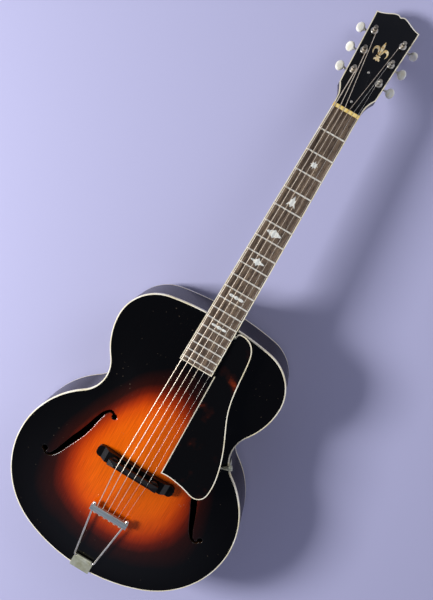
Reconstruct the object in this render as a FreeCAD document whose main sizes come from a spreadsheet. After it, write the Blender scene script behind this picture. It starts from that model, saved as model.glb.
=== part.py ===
import FreeCAD, Part
import math
import os
from FreeCAD import Placement, Rotation, Vector

# Archtop guitar lying on its back: +Z out of the top, +Y from tail to headstock, +X to the treble side.
# Lengths in millimetres, angles in degrees.

SIZES = {
    # body outline, tail to neck
    "lower_bout_width": 404.0,
    "lower_bout_place": 165.5,
    "waist_width": 236.5,
    "waist_rise": 165.0,
    "upper_bout_width": 296.0,
    "upper_bout_rise": 96.5,
    "shoulder_rise": 79.0,
    "rim_depth": 89.0,
    # carved plates
    "arch_centre_place": 226.0,
    "top_arch": 19.0,
    "back_arch": 16.0,
    "plate_edge": 5.5,
    "plate_crown": 6.5,
    "plate_step": 0.5,
    "f_hole_length": 148.0,
    "f_hole_width": 10.5,
    "f_hole_side": 111.0,
    "f_hole_place": 220.0,
    # ribs and inner woodwork
    "binding_width": 2.0,
    "rib_thickness": 2.4,
    "lining_width": 7.0,
    "lining_height": 14.0,
    "neck_block_width": 78.0,
    "neck_block_depth": 40.0,
    "tail_block_width": 72.0,
    "tail_block_depth": 24.0,
    "tone_bar_side": 36.0,
    "tone_bar_width": 8.0,
    "tone_bar_height": 13.0,
    # neck joint and heel
    "tenon_root_width": 30.0,
    "tenon_end_width": 38.0,
    "tenon_length": 20.0,
    "tenon_foot": 8.0,
    "heel_width": 50.0,
    "heel_reach": 64.0,
    "heel_cap_width": 28.0,
    "heel_cap_reach": 17.0,
    "heel_cap_thickness": 3.0,
    "heel_sink": 5.0,
    # neck and fingerboard
    "scale_length": 647.7,
    "neck_pitch": 4.9,
    "board_rise": 16.0,
    "board_thickness": 6.4,
    "board_overhang": 8.0,
    "board_end_width": 57.0,
    "board_binding_width": 1.6,
    "nut_width": 43.2,
    "nut_thickness": 5.2,
    "nut_top": 1.9,
    "neck_depth_at_nut": 15.8,
    "neck_depth_at_body": 19.5,
    "neck_extension": 7.0,
    "fret_width": 2.3,
    "fret_height": 1.1,
    "fret_end_inset": 0.6,
    "tang_width": 0.6,
    "tang_depth": 2.2,
    "inlay_depth": 1.2,
    "star_width": 8.0,
    "star_length": 8.0,
    "arrow_width": 11.0,
    "arrow_length": 12.5,
    "wing_width": 22.0,
    "wing_length": 9.5,
    "dart_width": 22.0,
    "dart_length": 6.5,
    # truss rod
    "truss_rod_radius": 2.4,
    "truss_rod_sink": 9.0,
    "truss_rod_end_inset": 16.0,
    "truss_nut_radius": 3.2,
    "truss_nut_length": 9.0,
    "truss_pocket_width": 9.6,
    "truss_pocket_place": 17.0,
    "truss_pocket_length": 17.0,
    # headstock
    "head_angle": 16.0,
    "head_drop": 5.0,
    "head_thickness": 14.0,
    "head_length": 168.5,
    "head_corner_place": 157.5,
    "head_ear_place": 33.0,
    "head_ear_width": 60.5,
    "head_top_width": 72.0,
    "head_overlap": 9.0,
    "veneer_thickness": 2.0,
    "head_binding_width": 1.6,
    "ornament_place": 104.0,
    "ornament_height": 34.0,
    "ornament_width": 24.0,
    "cover_place": 8.5,
    "cover_length": 61.0,
    "cover_width": 27.0,
    "cover_thickness": 1.8,
    "cover_screw_inset": 4.6,
    # wood screws of the headstock
    "screw_head_radius": 2.0,
    "screw_head_height": 1.1,
    "screw_radius": 1.1,
    "screw_length": 7.5,
    "cover_screw_length": 5.4,
    # tuners
    "post_first_place": 58.0,
    "post_spacing": 34.8,
    "post_first_side": 21.4,
    "post_last_side": 24.0,
    "post_radius": 3.1,
    "post_height": 11.5,
    "post_waist_radius": 2.6,
    "winding_top": 6.8,
    "winding_fall": 3.6,
    "winding_gap": 0.5,
    "string_end_gap": 0.15,
    "bushing_radius": 4.4,
    "bushing_flange_radius": 5.6,
    "bushing_flange": 1.2,
    "bushing_depth": 8.0,
    "running_gap": 0.08,
    "gear_radius": 4.2,
    "gear_addendum": 0.6,
    "gear_dedendum": 0.8,
    "gear_thickness": 3.0,
    "gear_drop": 5.0,
    "worm_radius": 2.6,
    "worm_core_radius": 1.85,
    "worm_turn_count": 4.0,
    "worm_shaft_radius": 1.7,
    "tuner_plate_thickness": 1.2,
    "tuner_plate_width": 17.0,
    "tuner_plate_foot": 10.5,
    "tuner_plate_head": 15.5,
    "lug_place": 5.4,
    "lug_thickness": 1.6,
    "lug_width": 6.4,
    "lug_depth": 7.4,
    "tuner_plate_screw_foot": 7.6,
    "tuner_plate_screw_head": 12.6,
    "button_place": 21.5,
    "button_length": 13.0,
    "button_width": 15.5,
    "button_thickness": 6.6,
    "button_bore_depth": 7.0,
    "button_round": 2.4,
    # strings
    "string_one_diameter": 0.33,
    "string_two_diameter": 0.43,
    "string_three_diameter": 0.66,
    "string_four_diameter": 0.91,
    "string_five_diameter": 1.17,
    "string_six_diameter": 1.42,
    "nut_string_spacing": 7.3,
    "bridge_string_spacing": 11.2,
    "tail_string_spacing": 9.6,
    "nut_string_height": 1.4,
    "saddle_string_height": 5.4,
    "string_bend_radius": 7.0,
    "slot_gap": 0.3,
    "ball_radius": 1.9,
    "ball_length": 4.2,
    # bridge
    "bridge_setback": -2.5,
    "bridge_base_length": 142.0,
    "bridge_base_width": 20.0,
    "bridge_base_round": 8.0,
    "bridge_foot_height": 7.0,
    "bridge_deck_length": 104.0,
    "stud_spacing": 73.0,
    "stud_radius": 1.6,
    "stud_sink": 5.0,
    "stud_reach": 4.5,
    "wheel_radius": 8.2,
    "wheel_thickness": 3.6,
    "wheel_lift": 3.2,
    "wheel_knurl": 0.35,
    "saddle_length": 90.0,
    "saddle_height": 11.0,
    "saddle_foot_width": 11.0,
    "saddle_crown_width": 2.6,
    "saddle_end_height": 6.0,
    "saddle_flat_length": 66.0,
    "saddle_notch": 0.5,
    "seat_gap": 0.1,
    # tailpiece
    "bracket_width": 36.0,
    "bracket_thickness": 1.6,
    "bracket_drop": 66.0,
    "bracket_lip_gap": 1.5,
    "knuckle_place": 22.0,
    "knuckle_rise": 5.4,
    "knuckle_radius": 3.4,
    "knuckle_length": 28.0,
    "frame_radius": 1.6,
    "frame_foot_width": 37.0,
    "frame_head_width": 60.0,
    "frame_bend_radius": 3.4,
    "crossbar_place": 127.5,
    "crossbar_rise": 22.0,
    "crossbar_length": 69.0,
    "crossbar_depth": 12.0,
    "crossbar_height": 6.6,
    "crossbar_round": 1.8,
    "crossbar_string_gap": 0.35,
    "frame_nut_radius": 3.3,
    "frame_nut_length": 5.5,
    "frame_end": 4.0,
    "bracket_screw_side": 11.0,
    "bracket_screw_upper": 18.0,
    "bracket_screw_lower": 58.0,
    "bracket_screw_radius": 1.5,
    "bracket_screw_length": 16.0,
    "bracket_screw_head_radius": 3.2,
    "bracket_screw_head": 1.8,
    # end pin
    "end_pin_drop": 42.0,
    "end_pin_radius": 4.0,
    "end_pin_shank": 22.0,
    "end_pin_collar_radius": 7.5,
    "end_pin_collar": 2.5,
    "end_pin_waist_radius": 4.2,
    "end_pin_waist": 6.0,
    "end_pin_head_radius": 6.8,
    "end_pin_head": 5.0,
    # pickguard
    "guard_tilt": 3.0,
    "guard_rise": 10.0,
    "guard_thickness": 2.6,
    "guard_binding_width": 1.6,
    "guard_bridge_gap": 13.5,
    "guard_neck_gap": 1.0,
    "guard_width": 90.0,
    "guard_side": 30.0,
    "pin_radius": 0.8,
    "pin_inset": 10.0,
    "pin_hold": 5.0,
    "pin_collar_radius": 2.4,
    "clamp_place": 302.0,
    "clamp_rise": 5.5,
    "clamp_wall_gap": 0.4,
    "clamp_rod_radius": 1.5,
    "clamp_reach": 26.0,
    "clamp_foot_width": 9.0,
    "clamp_foot_thickness": 1.4,
    "clamp_foot_drop": 22.0,
    "clamp_cone_length": 9.0,
    "clamp_cone_radius": 4.2,
    "clamp_tip_radius": 2.2,
    "clamp_knob_radius": 4.4,
    "clamp_knob": 4.0,
}

FRETS = 19
JOINT_FRET = 14
GEAR_TEETH = 12
STRING_DIAMETERS = [
    "string_one_diameter",
    "string_two_diameter",
    "string_three_diameter",
    "string_four_diameter",
    "string_five_diameter",
    "string_six_diameter",
]
STRINGS = len(STRING_DIAMETERS)
# rest angle of each tuner button about its shaft, string 1 first
BUTTON_TURNS = [10.0, 15.0, 75.0, 8.0, 45.0, 5.0]

doc = FreeCAD.newDocument("archtop_guitar")
sheet = doc.addObject("Spreadsheet::Sheet", "Sizes")
for row, (alias, value) in enumerate(SIZES.items(), start=1):
    sheet.set(f"A{row}", alias)
    sheet.set(f"B{row}", str(value))
    sheet.setAlias(f"B{row}", alias)
doc.recompute()


class SheetSizes:
    """Reads a driving size from the sheet by its alias."""

    def __getattr__(self, alias):
        return float(sheet.get(alias))


mm = SheetSizes()
pieces = {}
X_AXIS = Vector(1, 0, 0)
Y_AXIS = Vector(0, 1, 0)
Z_AXIS = Vector(0, 0, 1)
ALONG_Y = Rotation(X_AXIS, -90)
AGAINST_Y = Rotation(X_AXIS, 90)
ALONG_X = Rotation(Y_AXIS, 90)
ACROSS_X = Rotation(Z_AXIS, 90) * Rotation(X_AXIS, 90)


# Helpers

def shift(x, y, z, turn=Rotation()):
    return Placement(Vector(x, y, z), turn)


def piece(label, thing):
    """Names a finished sub-part."""
    thing.Label = label
    pieces[label] = thing
    return thing


def bind(thing, **formulas):
    for prop, formula in formulas.items():
        thing.setExpression(prop, formula)
    return thing


def solid(name, shape, place=Placement()):
    thing = doc.addObject("Part::Feature", name)
    own = shape.Placement
    thing.Shape = shape
    thing.Placement = place * own
    return thing


def box(name, length, width, height, place):
    thing = doc.addObject("Part::Box", name)
    bind(thing, Length=length, Width=width, Height=height)
    thing.Placement = place
    return thing


def cylinder(name, radius, height, place):
    thing = doc.addObject("Part::Cylinder", name)
    bind(thing, Radius=radius, Height=height)
    thing.Placement = place
    return thing


def boolean(kind, name, base, tool):
    thing = doc.addObject(kind, name)
    thing.Base = base
    thing.Tool = tool
    return thing


def cut(name, base, *tools):
    """Takes the tools, which stand apart from each other, out of the base."""
    tool = tools[0] if len(tools) == 1 else group(name + "_tools", tools)
    return boolean("Part::Cut", name, base, tool)


def group(name, things):
    thing = doc.addObject("Part::Compound", name)
    thing.Links = list(things)
    return thing


def sketch(body, name, role, geometry):
    drawn = body.newObject("Sketcher::SketchObject", name)
    plane = next(f for f in body.Origin.OriginFeatures if f.Role == role)
    drawn.AttachmentSupport = (plane, [""])
    drawn.MapMode = "FlatFace"
    drawn.addGeometry(geometry, False)
    return drawn


def pad(name, geometry, height, place=Placement()):
    """Sketch in the ground plane raised by a height formula."""
    body = doc.addObject("PartDesign::Body", name)
    raised = body.newObject("PartDesign::Pad", name + "_pad")
    raised.Profile = sketch(body, name + "_sketch", "XY_Plane", geometry)
    raised.setExpression("Length", height)
    body.Placement = place
    return body


def turned(name, profile, place=Placement()):
    """Closed (radius, height) profile turned about the vertical axis."""
    body = doc.addObject("PartDesign::Body", name)
    drawn = sketch(body, name + "_sketch", "XZ_Plane", polygon(profile))
    spun = body.newObject("PartDesign::Revolution", name + "_turn")
    spun.Profile = drawn
    spun.ReferenceAxis = (drawn, ["V_Axis"])
    spun.Angle = 360
    body.Placement = place
    return body


def polygon(points):
    corners = [Vector(x, y, 0) for x, y in points]
    return [Part.LineSegment(a, b) for a, b in zip(corners, corners[1:] + corners[:1])]


def curve(points):
    line = Part.BSplineCurve()
    line.interpolate([Vector(*point) for point in points])
    return line


def wire(geometry):
    return Part.Wire(Part.sortEdges([g.toShape() for g in geometry])[0])


def inset_runs(runs, distance):
    """Closed chain of sampled runs, drawn inward by a distance; the chain runs anticlockwise."""
    points = [point for run in runs for point in run[:-1]]
    count = len(points)
    moved = []
    for k, point in enumerate(points):
        before = (point - points[k - 1]).normalize()
        after = (points[(k + 1) % count] - point).normalize()
        inward = (Vector(-before.y, before.x, 0) + Vector(-after.y, after.x, 0)).normalize()
        moved.append(point + inward * (distance / inward.dot(Vector(-after.y, after.x, 0))))
    drawn = []
    start = 0
    for run in runs:
        stop = start + len(run) - 1
        drawn.append([moved[k % count] for k in range(start, stop + 1)])
        start = stop
    return drawn


def sampled(line, count):
    """Points along a curve or segment, from its start to its end."""
    low, high = line.FirstParameter, line.LastParameter
    return [line.value(low + (high - low) * k / count) for k in range(count + 1)]


def run_wire(runs):
    drawn = []
    for run in runs:
        drawn.append(Part.LineSegment(run[0], run[-1]) if len(run) == 2 else curve(run))
    return wire(drawn)


def prism(outline, low, high):
    face = Part.Face(outline)
    face.translate(Vector(0, 0, low))
    return face.extrude(Vector(0, 0, high - low))


def bent_path(points, radius):
    """Straight runs through the points, joined by tangent arcs."""
    runs = []
    start = points[0]
    for before, corner, after in zip(points, points[1:], points[2:]):
        back = (before - corner).normalize()
        ahead = (after - corner).normalize()
        half = back.getAngle(ahead) / 2
        inward = (back + ahead).normalize()
        near = corner + back * (radius / math.tan(half))
        far = corner + ahead * (radius / math.tan(half))
        middle = corner + inward * (radius / math.sin(half) - radius)
        runs += [Part.LineSegment(start, near), Part.Arc(near, middle, far)]
        start = far
    runs.append(Part.LineSegment(start, points[-1]))
    return Part.Wire([run.toShape() for run in runs])


def tube(path, radius):
    first = path.Edges[0]
    start = first.FirstParameter
    ring = Part.makeCircle(radius, first.valueAt(start), first.tangentAt(start))
    return path.makePipeShell([Part.Wire(ring)], True, False)


def biarc(start, start_way, end, end_way):
    """Two tangent arcs from one point and direction to another."""
    reach = end - start
    both = start_way + end_way
    bend = 2 * (1 - start_way.dot(end_way))
    lean = reach.dot(both)
    arm = (math.sqrt(lean * lean + bend * reach.dot(reach)) - lean) / bend
    first = start + start_way * arm
    last = end - end_way * arm
    middle = (first + last) * 0.5
    return [arc_by_corner(start, first, middle), arc_by_corner(middle, last, end)]


def arc_by_corner(start, corner, end):
    chord_middle = (start + end) * 0.5
    chord = end - start
    turn = (corner - start).getAngle(chord)
    sag = chord.Length / 2 * math.tan(turn / 2)
    crest = chord_middle + (corner - chord_middle).normalize() * sag
    return Part.Arc(start, crest, end)


# Shared frames

lower_bout_place = mm.lower_bout_place
waist_place = lower_bout_place + mm.waist_rise
upper_bout_place = waist_place + mm.upper_bout_rise
body_length = upper_bout_place + mm.shoulder_rise
pitch = math.radians(mm.neck_pitch)


def fret_distance(number):
    return mm.scale_length * (1 - 2 ** (-number / 12))


joint_distance = fret_distance(JOINT_FRET)
nut_y = body_length + joint_distance * math.cos(pitch)
nut_z = mm.board_rise - joint_distance * math.sin(pitch)
end_pin_reach = mm.bracket_thickness + mm.end_pin_collar + mm.end_pin_waist + mm.end_pin_head
head_slope = pitch + math.radians(mm.head_angle)
head_y = nut_y + mm.nut_thickness * math.cos(pitch) - mm.head_drop * math.sin(pitch)
tip_y = head_y + mm.head_length * math.cos(head_slope)
tail_y = -(tip_y - end_pin_reach) / 2
rim_z = mm.rim_depth + mm.back_arch

BODY = shift(0, tail_y, rim_z)
NECK = BODY * shift(0, nut_y, nut_z, Rotation(X_AXIS, -mm.neck_pitch))
HEAD = NECK * shift(0, mm.nut_thickness, -mm.head_drop, Rotation(X_AXIS, -mm.head_angle))


# Body outline from tangent arcs

WAIST_ARC = 3
LOWER_SIDE_SHARE = 0.94
LOWER_SHOULDER_SHARE = 0.915
UPPER_SHOULDER_SHARE = 0.911


def treble_arcs(inset, tail_x=0.0, neck_x=0.0):
    """Arcs of the treble half, tail to neck: centre x, centre y, radius, start, end."""
    half_low = mm.lower_bout_width / 2
    half_waist = mm.waist_width / 2
    half_up = mm.upper_bout_width / 2
    side = LOWER_SIDE_SHARE * lower_bout_place
    hip = LOWER_SHOULDER_SHARE * mm.waist_rise
    crown = UPPER_SHOULDER_SHARE * mm.shoulder_rise
    side_x = half_low - side
    hip_x = half_low - hip
    crown_x = half_up - crown
    tail = (side_x**2 + lower_bout_place**2 - side**2) / (2 * (lower_bout_place - side))
    waist_x = half_waist - hip_x
    waist = (waist_x**2 + mm.waist_rise**2 - hip**2) / (2 * (hip - waist_x))
    flare = half_up - half_waist
    bout = (flare**2 + mm.upper_bout_rise**2) / (2 * flare) - waist
    top = (crown_x**2 + mm.shoulder_rise**2 - crown**2) / (2 * (mm.shoulder_rise - crown))
    tail_turn = math.atan2(lower_bout_place - tail, side_x)
    waist_turn = math.atan2(mm.waist_rise, half_waist + waist - hip_x)
    bout_turn = math.atan2(mm.upper_bout_rise, half_up - bout - half_waist - waist)
    crown_turn = math.atan2(upper_bout_place - body_length + top, crown_x)
    tail_start = -math.acos(tail_x / (tail - inset))
    neck_end = math.acos(neck_x / (top - inset))
    return [
        (0, tail, tail - inset, tail_start, tail_turn),
        (side_x, lower_bout_place, side - inset, tail_turn, 0),
        (hip_x, lower_bout_place, hip - inset, 0, waist_turn),
        (half_waist + waist, waist_place, waist + inset, waist_turn + math.pi, bout_turn),
        (half_up - bout, upper_bout_place, bout - inset, bout_turn - math.pi, 0),
        (crown_x, upper_bout_place, crown - inset, 0, crown_turn),
        (0, body_length - top, top - inset, crown_turn, neck_end),
    ]


def bass_arcs(arcs):
    return [(-x, y, r, math.pi - b, math.pi - a) for x, y, r, a, b in reversed(arcs)]


def draw_arcs(arcs, height=0.0):
    def at(x, y, radius, angle):
        return Vector(x + radius * math.cos(angle), y + radius * math.sin(angle), height)

    return [
        Part.Arc(at(x, y, r, a), at(x, y, r, (a + b) / 2), at(x, y, r, b))
        for x, y, r, a, b in arcs
    ]


def outline(inset, height=0.0):
    """Closed outline of the body, drawn inward by the inset."""
    arcs = treble_arcs(inset)
    drawn = draw_arcs(arcs + bass_arcs(arcs), height)
    return Part.Wire([edge.toShape() for edge in drawn])


def strip(outer, inner, tail_x, neck_x, bass=False):
    """Half ring between two insets, ended square at the tail and the neck."""
    drawn = []
    for inset in (outer, inner):
        arcs = treble_arcs(inset, tail_x, neck_x)
        drawn.append(draw_arcs(bass_arcs(arcs) if bass else arcs))
    far, near = drawn
    ends = [
        Part.LineSegment(far[0].StartPoint, near[0].StartPoint),
        Part.LineSegment(far[-1].EndPoint, near[-1].EndPoint),
    ]
    return far + near + ends


def edge_y(inset, x, at_neck):
    """Place along the body where the inset outline crosses x, at the neck or the tail."""
    arc = treble_arcs(inset)[-1 if at_neck else 0]
    rise = math.sqrt(arc[2] ** 2 - x**2)
    return arc[1] + rise if at_neck else arc[1] - rise


# Carved top and back

ARCH_STEPS_ACROSS = 36
ARCH_STEPS_ALONG = 44
CROSS_SWELL_SHARE = 0.88
LONG_SWELL_SHARE = 0.8


def half_width(inset, y):
    """Half width of the inset outline at a place along the body, zero beyond its ends."""
    for k, (x, centre, radius, start, end) in enumerate(treble_arcs(inset)):
        low, high = sorted((centre + radius * math.sin(start), centre + radius * math.sin(end)))
        if low <= y <= high:
            reach = math.sqrt(radius**2 - (y - centre) ** 2)
            return x - reach if k == WAIST_ARC else x + reach
    return 0.0


def side_turn(y):
    """Direction straight out of the body's side at a place along it."""
    for k, (x, centre, radius, start, end) in enumerate(treble_arcs(0)):
        low, high = sorted((centre + radius * math.sin(start), centre + radius * math.sin(end)))
        if low <= y <= high:
            lean = math.asin((y - centre) / radius)
            return -lean if k == WAIST_ARC else lean
    return 0.0


def swell(run, power):
    """Rises from a level start to a level crest."""
    return math.sin(math.pi / 2 * run**power) ** 2


def arch_height(inset, height, x, y):
    """Height of a carved arch above its rim: a cross arch times a long arch."""
    wide = half_width(inset, y)
    if wide <= abs(x):
        return 0.0
    centre = mm.arch_centre_place
    run = (y - inset) / (centre - inset)
    if y > centre:
        run = (body_length - inset - y) / (body_length - inset - centre)
    return height * swell(1 - abs(x) / wide, CROSS_SWELL_SHARE) * swell(run, LONG_SWELL_SHARE)


def dome(inset, base, foot, height):
    """Carved solid from a flat foot plane to its arch, cut off at the inset outline."""
    reach = mm.lower_bout_width / 2
    rows = []
    for j in range(ARCH_STEPS_ALONG + 1):
        y = body_length * j / ARCH_STEPS_ALONG
        row = []
        for k in range(ARCH_STEPS_ACROSS + 1):
            x = reach * (2 * k / ARCH_STEPS_ACROSS - 1)
            row.append(Vector(x, y, base + arch_height(inset, height, x, y)))
        rows.append(row)
    skin = Part.BSplineSurface()
    skin.interpolate(rows)
    block = skin.toShape().extrude(Vector(0, 0, 2 * (foot - base) - 2 * height))
    return block.common(prism(outline(inset), *sorted((foot, base + 2 * height))))


def split_foot(shape, foot):
    """Flat foot face of a carved solid, and its other faces."""
    plane = Part.Face(outline(0, foot))
    flat = [f for f in shape.Faces if f.isCoplanar(plane)]
    return flat[0], [f for f in shape.Faces if not f.isSame(flat[0])]


def carved_plate(outer, inner, foot):
    """Shell of an outer and an inner carving, joined by the flat land that is glued to the rim."""
    outer_foot, skin = split_foot(outer, foot)
    inner_foot, lining = split_foot(inner, foot)
    land = outer_foot.cut(inner_foot).Faces
    return Part.makeSolid(Part.makeShell(skin + [f.reversed() for f in lining] + land))


F_SPINE_SHARES = [
    (0.257, 0.396), (0.215, 0.430), (0.160, 0.399), (0.108, 0.284), (0.068, 0.142), (0.024, 0.014),
    (-0.027, -0.101), (-0.078, -0.230), (-0.135, -0.355), (-0.186, -0.419), (-0.234, -0.424),
    (-0.262, -0.380),
]
F_WIDTH_SHARES = [0.44, 0.42, 0.46, 0.66, 0.88, 1.0, 0.96, 0.82, 0.62, 0.46, 0.42, 0.44]
F_EYE_SHARE = 0.42


def f_hole(side):
    """Upright cutter of one sound hole with a round eye at each end."""
    spine = [
        (side * (mm.f_hole_side - x * mm.f_hole_length), mm.f_hole_place + y * mm.f_hole_length, 0)
        for x, y in F_SPINE_SHARES
    ]
    middle = curve(spine)
    left = []
    right = []
    for point, width_share in zip(spine, F_WIDTH_SHARES):
        at = Vector(*point)
        way = Vector(*middle.tangent(middle.parameter(at))[0])
        across = Vector(-way.y, way.x, 0).normalize() * (width_share * mm.f_hole_width / 2)
        left.append(at + across)
        right.append(at - across)
    sides = [
        curve(left),
        Part.LineSegment(left[-1], right[-1]),
        curve(right),
        Part.LineSegment(left[0], right[0]),
    ]
    low = -2 * mm.plate_edge
    high = 2 * mm.top_arch
    cutter = prism(wire(sides), low, high)
    for end in (spine[0], spine[-1]):
        eye = Part.makeCylinder(F_EYE_SHARE * mm.f_hole_width, high - low, Vector(end[0], end[1], low))
        cutter = cutter.fuse(eye)
    return cutter


rib_low = mm.plate_edge - mm.rim_depth
tenon_half = mm.tenon_root_width / 2
notch_y = body_length - mm.tenon_length - mm.seat_gap
inner_edge = mm.rib_thickness + mm.lining_width
land_z = -mm.plate_edge
rib_face = mm.rib_thickness
mortise_half = mm.tenon_end_width / 2
mortise_y = edge_y(rib_face, tenon_half, True)
mortise_lines = [
    (tenon_half, mortise_y), (mortise_half, notch_y), (-mortise_half, notch_y), (-tenon_half, mortise_y),
]
top_outer = dome(mm.binding_width, 0, land_z, mm.top_arch)
top_rise = mm.top_arch - mm.plate_crown - land_z - mm.plate_step
top_inner = dome(inner_edge, land_z + mm.plate_step, land_z, top_rise)
top_shape = carved_plate(top_outer, top_inner, land_z)
for side in (-1, 1):
    top_shape = top_shape.cut(f_hole(side))
mortise_mouth = [(-tenon_half, body_length), (tenon_half, body_length)]
mortise = prism(wire(polygon(mortise_lines + mortise_mouth)), 2 * land_z, mm.top_arch)
top_shape = top_shape.cut(mortise)
piece("top_plate", solid("top_plate", top_shape, BODY))

back_outer = dome(mm.binding_width, -mm.rim_depth, rib_low, -mm.back_arch)
back_rise = mm.back_arch - mm.plate_crown - land_z - mm.plate_step
back_inner = dome(inner_edge, rib_low - mm.plate_step, rib_low, -back_rise)
piece("back_plate", solid("back_plate", carved_plate(back_outer, back_inner, rib_low), BODY))


# Ribs, bindings, linings and blocks

RIB_HEIGHT = "Sizes.rim_depth - 2 * Sizes.plate_edge"
pin_bore = cylinder(
    "pin_bore", "Sizes.end_pin_radius", "4 * Sizes.end_pin_shank",
    BODY * shift(0, -2 * mm.end_pin_shank, -mm.end_pin_drop, ALONG_Y),
)
bracket_screw_places = [
    (-mm.bracket_screw_side, -mm.bracket_screw_upper),
    (mm.bracket_screw_side, -mm.bracket_screw_upper),
    (0, -mm.bracket_screw_lower),
]
tail_bores = [pin_bore]
for x, z in bracket_screw_places:
    place = BODY * shift(x, -mm.bracket_screw_length, z, ALONG_Y)
    tail_bores.append(
        cylinder("screw_bore", "Sizes.bracket_screw_radius", "4 * Sizes.bracket_screw_length", place)
    )
for name, bass in (("rib_treble", False), ("rib_bass", True)):
    blank = pad(
        name + "_blank", strip(0, mm.rib_thickness, 0, tenon_half, bass), RIB_HEIGHT,
        BODY * shift(0, 0, rib_low),
    )
    piece(name, cut(name, blank, *tail_bores))

c_ring = []
ring_ends = []
for inset in (0, mm.binding_width):
    arcs = treble_arcs(inset, 0, tenon_half)
    c_ring += draw_arcs(arcs + bass_arcs(arcs))
    ring_ends.append((tenon_half, edge_y(inset, tenon_half, True)))
for side in (-1, 1):
    c_ring.append(Part.LineSegment(*[Vector(side * x, y, 0) for x, y in ring_ends]))
piece("top_binding", pad("top_binding", c_ring, "Sizes.plate_edge", BODY * shift(0, 0, -mm.plate_edge)))

full_ring = []
for inset in (0, mm.binding_width):
    arcs = treble_arcs(inset)
    full_ring += draw_arcs(arcs + bass_arcs(arcs))
piece("back_binding", pad("back_binding", full_ring, "Sizes.plate_edge", BODY * shift(0, 0, -mm.rim_depth)))

strips = []
for low in (rib_low, -mm.plate_edge - mm.lining_height):
    for bass in (False, True):
        drawn = strip(mm.rib_thickness, inner_edge, mm.tail_block_width / 2, mm.neck_block_width / 2, bass)
        strips.append(pad("lining", drawn, "Sizes.lining_height", BODY * shift(0, 0, low)))
piece("linings", group("linings", strips))


def block_side(inset, x, x_end, at_neck):
    """Arc of the inset outline between two places across the body."""
    middle = (x + x_end) / 2
    return Part.Arc(*[Vector(at, edge_y(inset, at, at_neck), 0) for at in (x, middle, x_end)])


block_half = mm.neck_block_width / 2
block_foot = body_length - rib_face - mm.neck_block_depth
block_outer = [
    (-block_half, edge_y(rib_face, block_half, True)), (-block_half, block_foot),
    (block_half, block_foot), (block_half, edge_y(rib_face, block_half, True)),
]
drawn = polygon(mortise_lines)[:-1] + polygon(block_outer)[:-1]
drawn += [
    block_side(rib_face, -tenon_half, -block_half, True),
    block_side(rib_face, block_half, tenon_half, True),
]
piece("neck_block", pad("neck_block", drawn, RIB_HEIGHT, BODY * shift(0, 0, rib_low)))

tail_half = mm.tail_block_width / 2
tail_head = rib_face + mm.tail_block_depth
tail_outer = [
    (tail_half, edge_y(rib_face, tail_half, False)), (tail_half, tail_head),
    (-tail_half, tail_head), (-tail_half, edge_y(rib_face, tail_half, False)),
]
drawn = polygon(tail_outer)[:-1] + [block_side(rib_face, -tail_half, tail_half, False)]
tail_blank = pad("tail_block_blank", drawn, RIB_HEIGHT, BODY * shift(0, 0, rib_low))
piece("tail_block", cut("tail_block", tail_blank, *tail_bores))

bar_low = mm.top_arch - mm.plate_crown - mm.tone_bar_height
bars = []
inner_dome = solid("top_inner_dome", top_inner, BODY)
for side in (-1, 1):
    bar = box(
        "bar_blank", "Sizes.tone_bar_width", "Sizes.lower_bout_width", "2 * Sizes.top_arch",
        BODY * shift(
            side * mm.tone_bar_side - mm.tone_bar_width / 2,
            mm.arch_centre_place - mm.lower_bout_width / 2,
            bar_low,
        ),
    )
    bars.append(boolean("Part::Common", "tone_bar", bar, inner_dome))
piece("tone_bars", group("tone_bars", bars))


# Neck with heel, tenon and headstock

HEEL_LEVEL_SHARES = [0.0, 0.18, 0.4, 0.68, 1.0]
HEEL_REACH_POWER = 2.6
HEEL_WIDTH_POWER = 1.4
HALF_TURN_STEPS = 8


def board_half(distance):
    """Half width of the fingerboard at a distance from the nut."""
    full = fret_distance(FRETS) + mm.board_overhang
    return (mm.nut_width + (mm.board_end_width - mm.nut_width) * distance / full) / 2


def neck_section(y, half, depth):
    """Rounded neck profile under the fingerboard, across the neck."""
    top = -mm.board_thickness
    points = []
    for step in range(HALF_TURN_STEPS + 1):
        angle = math.pi * step / HALF_TURN_STEPS
        points.append((half * math.cos(angle), y, top - depth * math.sin(angle)))
    return wire([curve(points), Part.LineSegment(Vector(*points[-1]), Vector(*points[0]))])


def heel_section(z, half, reach):
    foot = body_length - mm.heel_sink
    points = []
    for step in range(HALF_TURN_STEPS + 1):
        angle = math.pi * step / HALF_TURN_STEPS
        points.append((half * math.cos(angle), foot + (reach + mm.heel_sink) * math.sin(angle), z))
    return wire([curve(points), Part.LineSegment(Vector(*points[-1]), Vector(*points[0]))])


def heel_size(share):
    """Half width and reach of the heel at a share of its depth."""
    wide = mm.heel_cap_width + (mm.heel_width - mm.heel_cap_width) * (1 - share) ** HEEL_WIDTH_POWER
    reach = mm.heel_cap_reach + (mm.heel_reach - mm.heel_cap_reach) * (1 - share) ** HEEL_REACH_POWER
    return wide / 2, reach


def flat_section(y, half, low, high):
    corners = [Vector(-half, y, low), Vector(half, y, low), Vector(half, y, high), Vector(-half, y, high)]
    return Part.makePolygon(corners + corners[:1])


EAR_SHARES = [(0.0, 0.0), (0.03, 0.24), (0.12, 0.46), (0.47, 0.74), (1.0, 1.0)]
CREST_SHARES = [
    (1.0, 0.0), (0.78, 0.16), (0.53, 0.52), (0.31, 0.88), (0.16, 1.0), (0.07, 0.93), (0.0, 0.82),
]


CURVE_SAMPLES = 24


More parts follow.
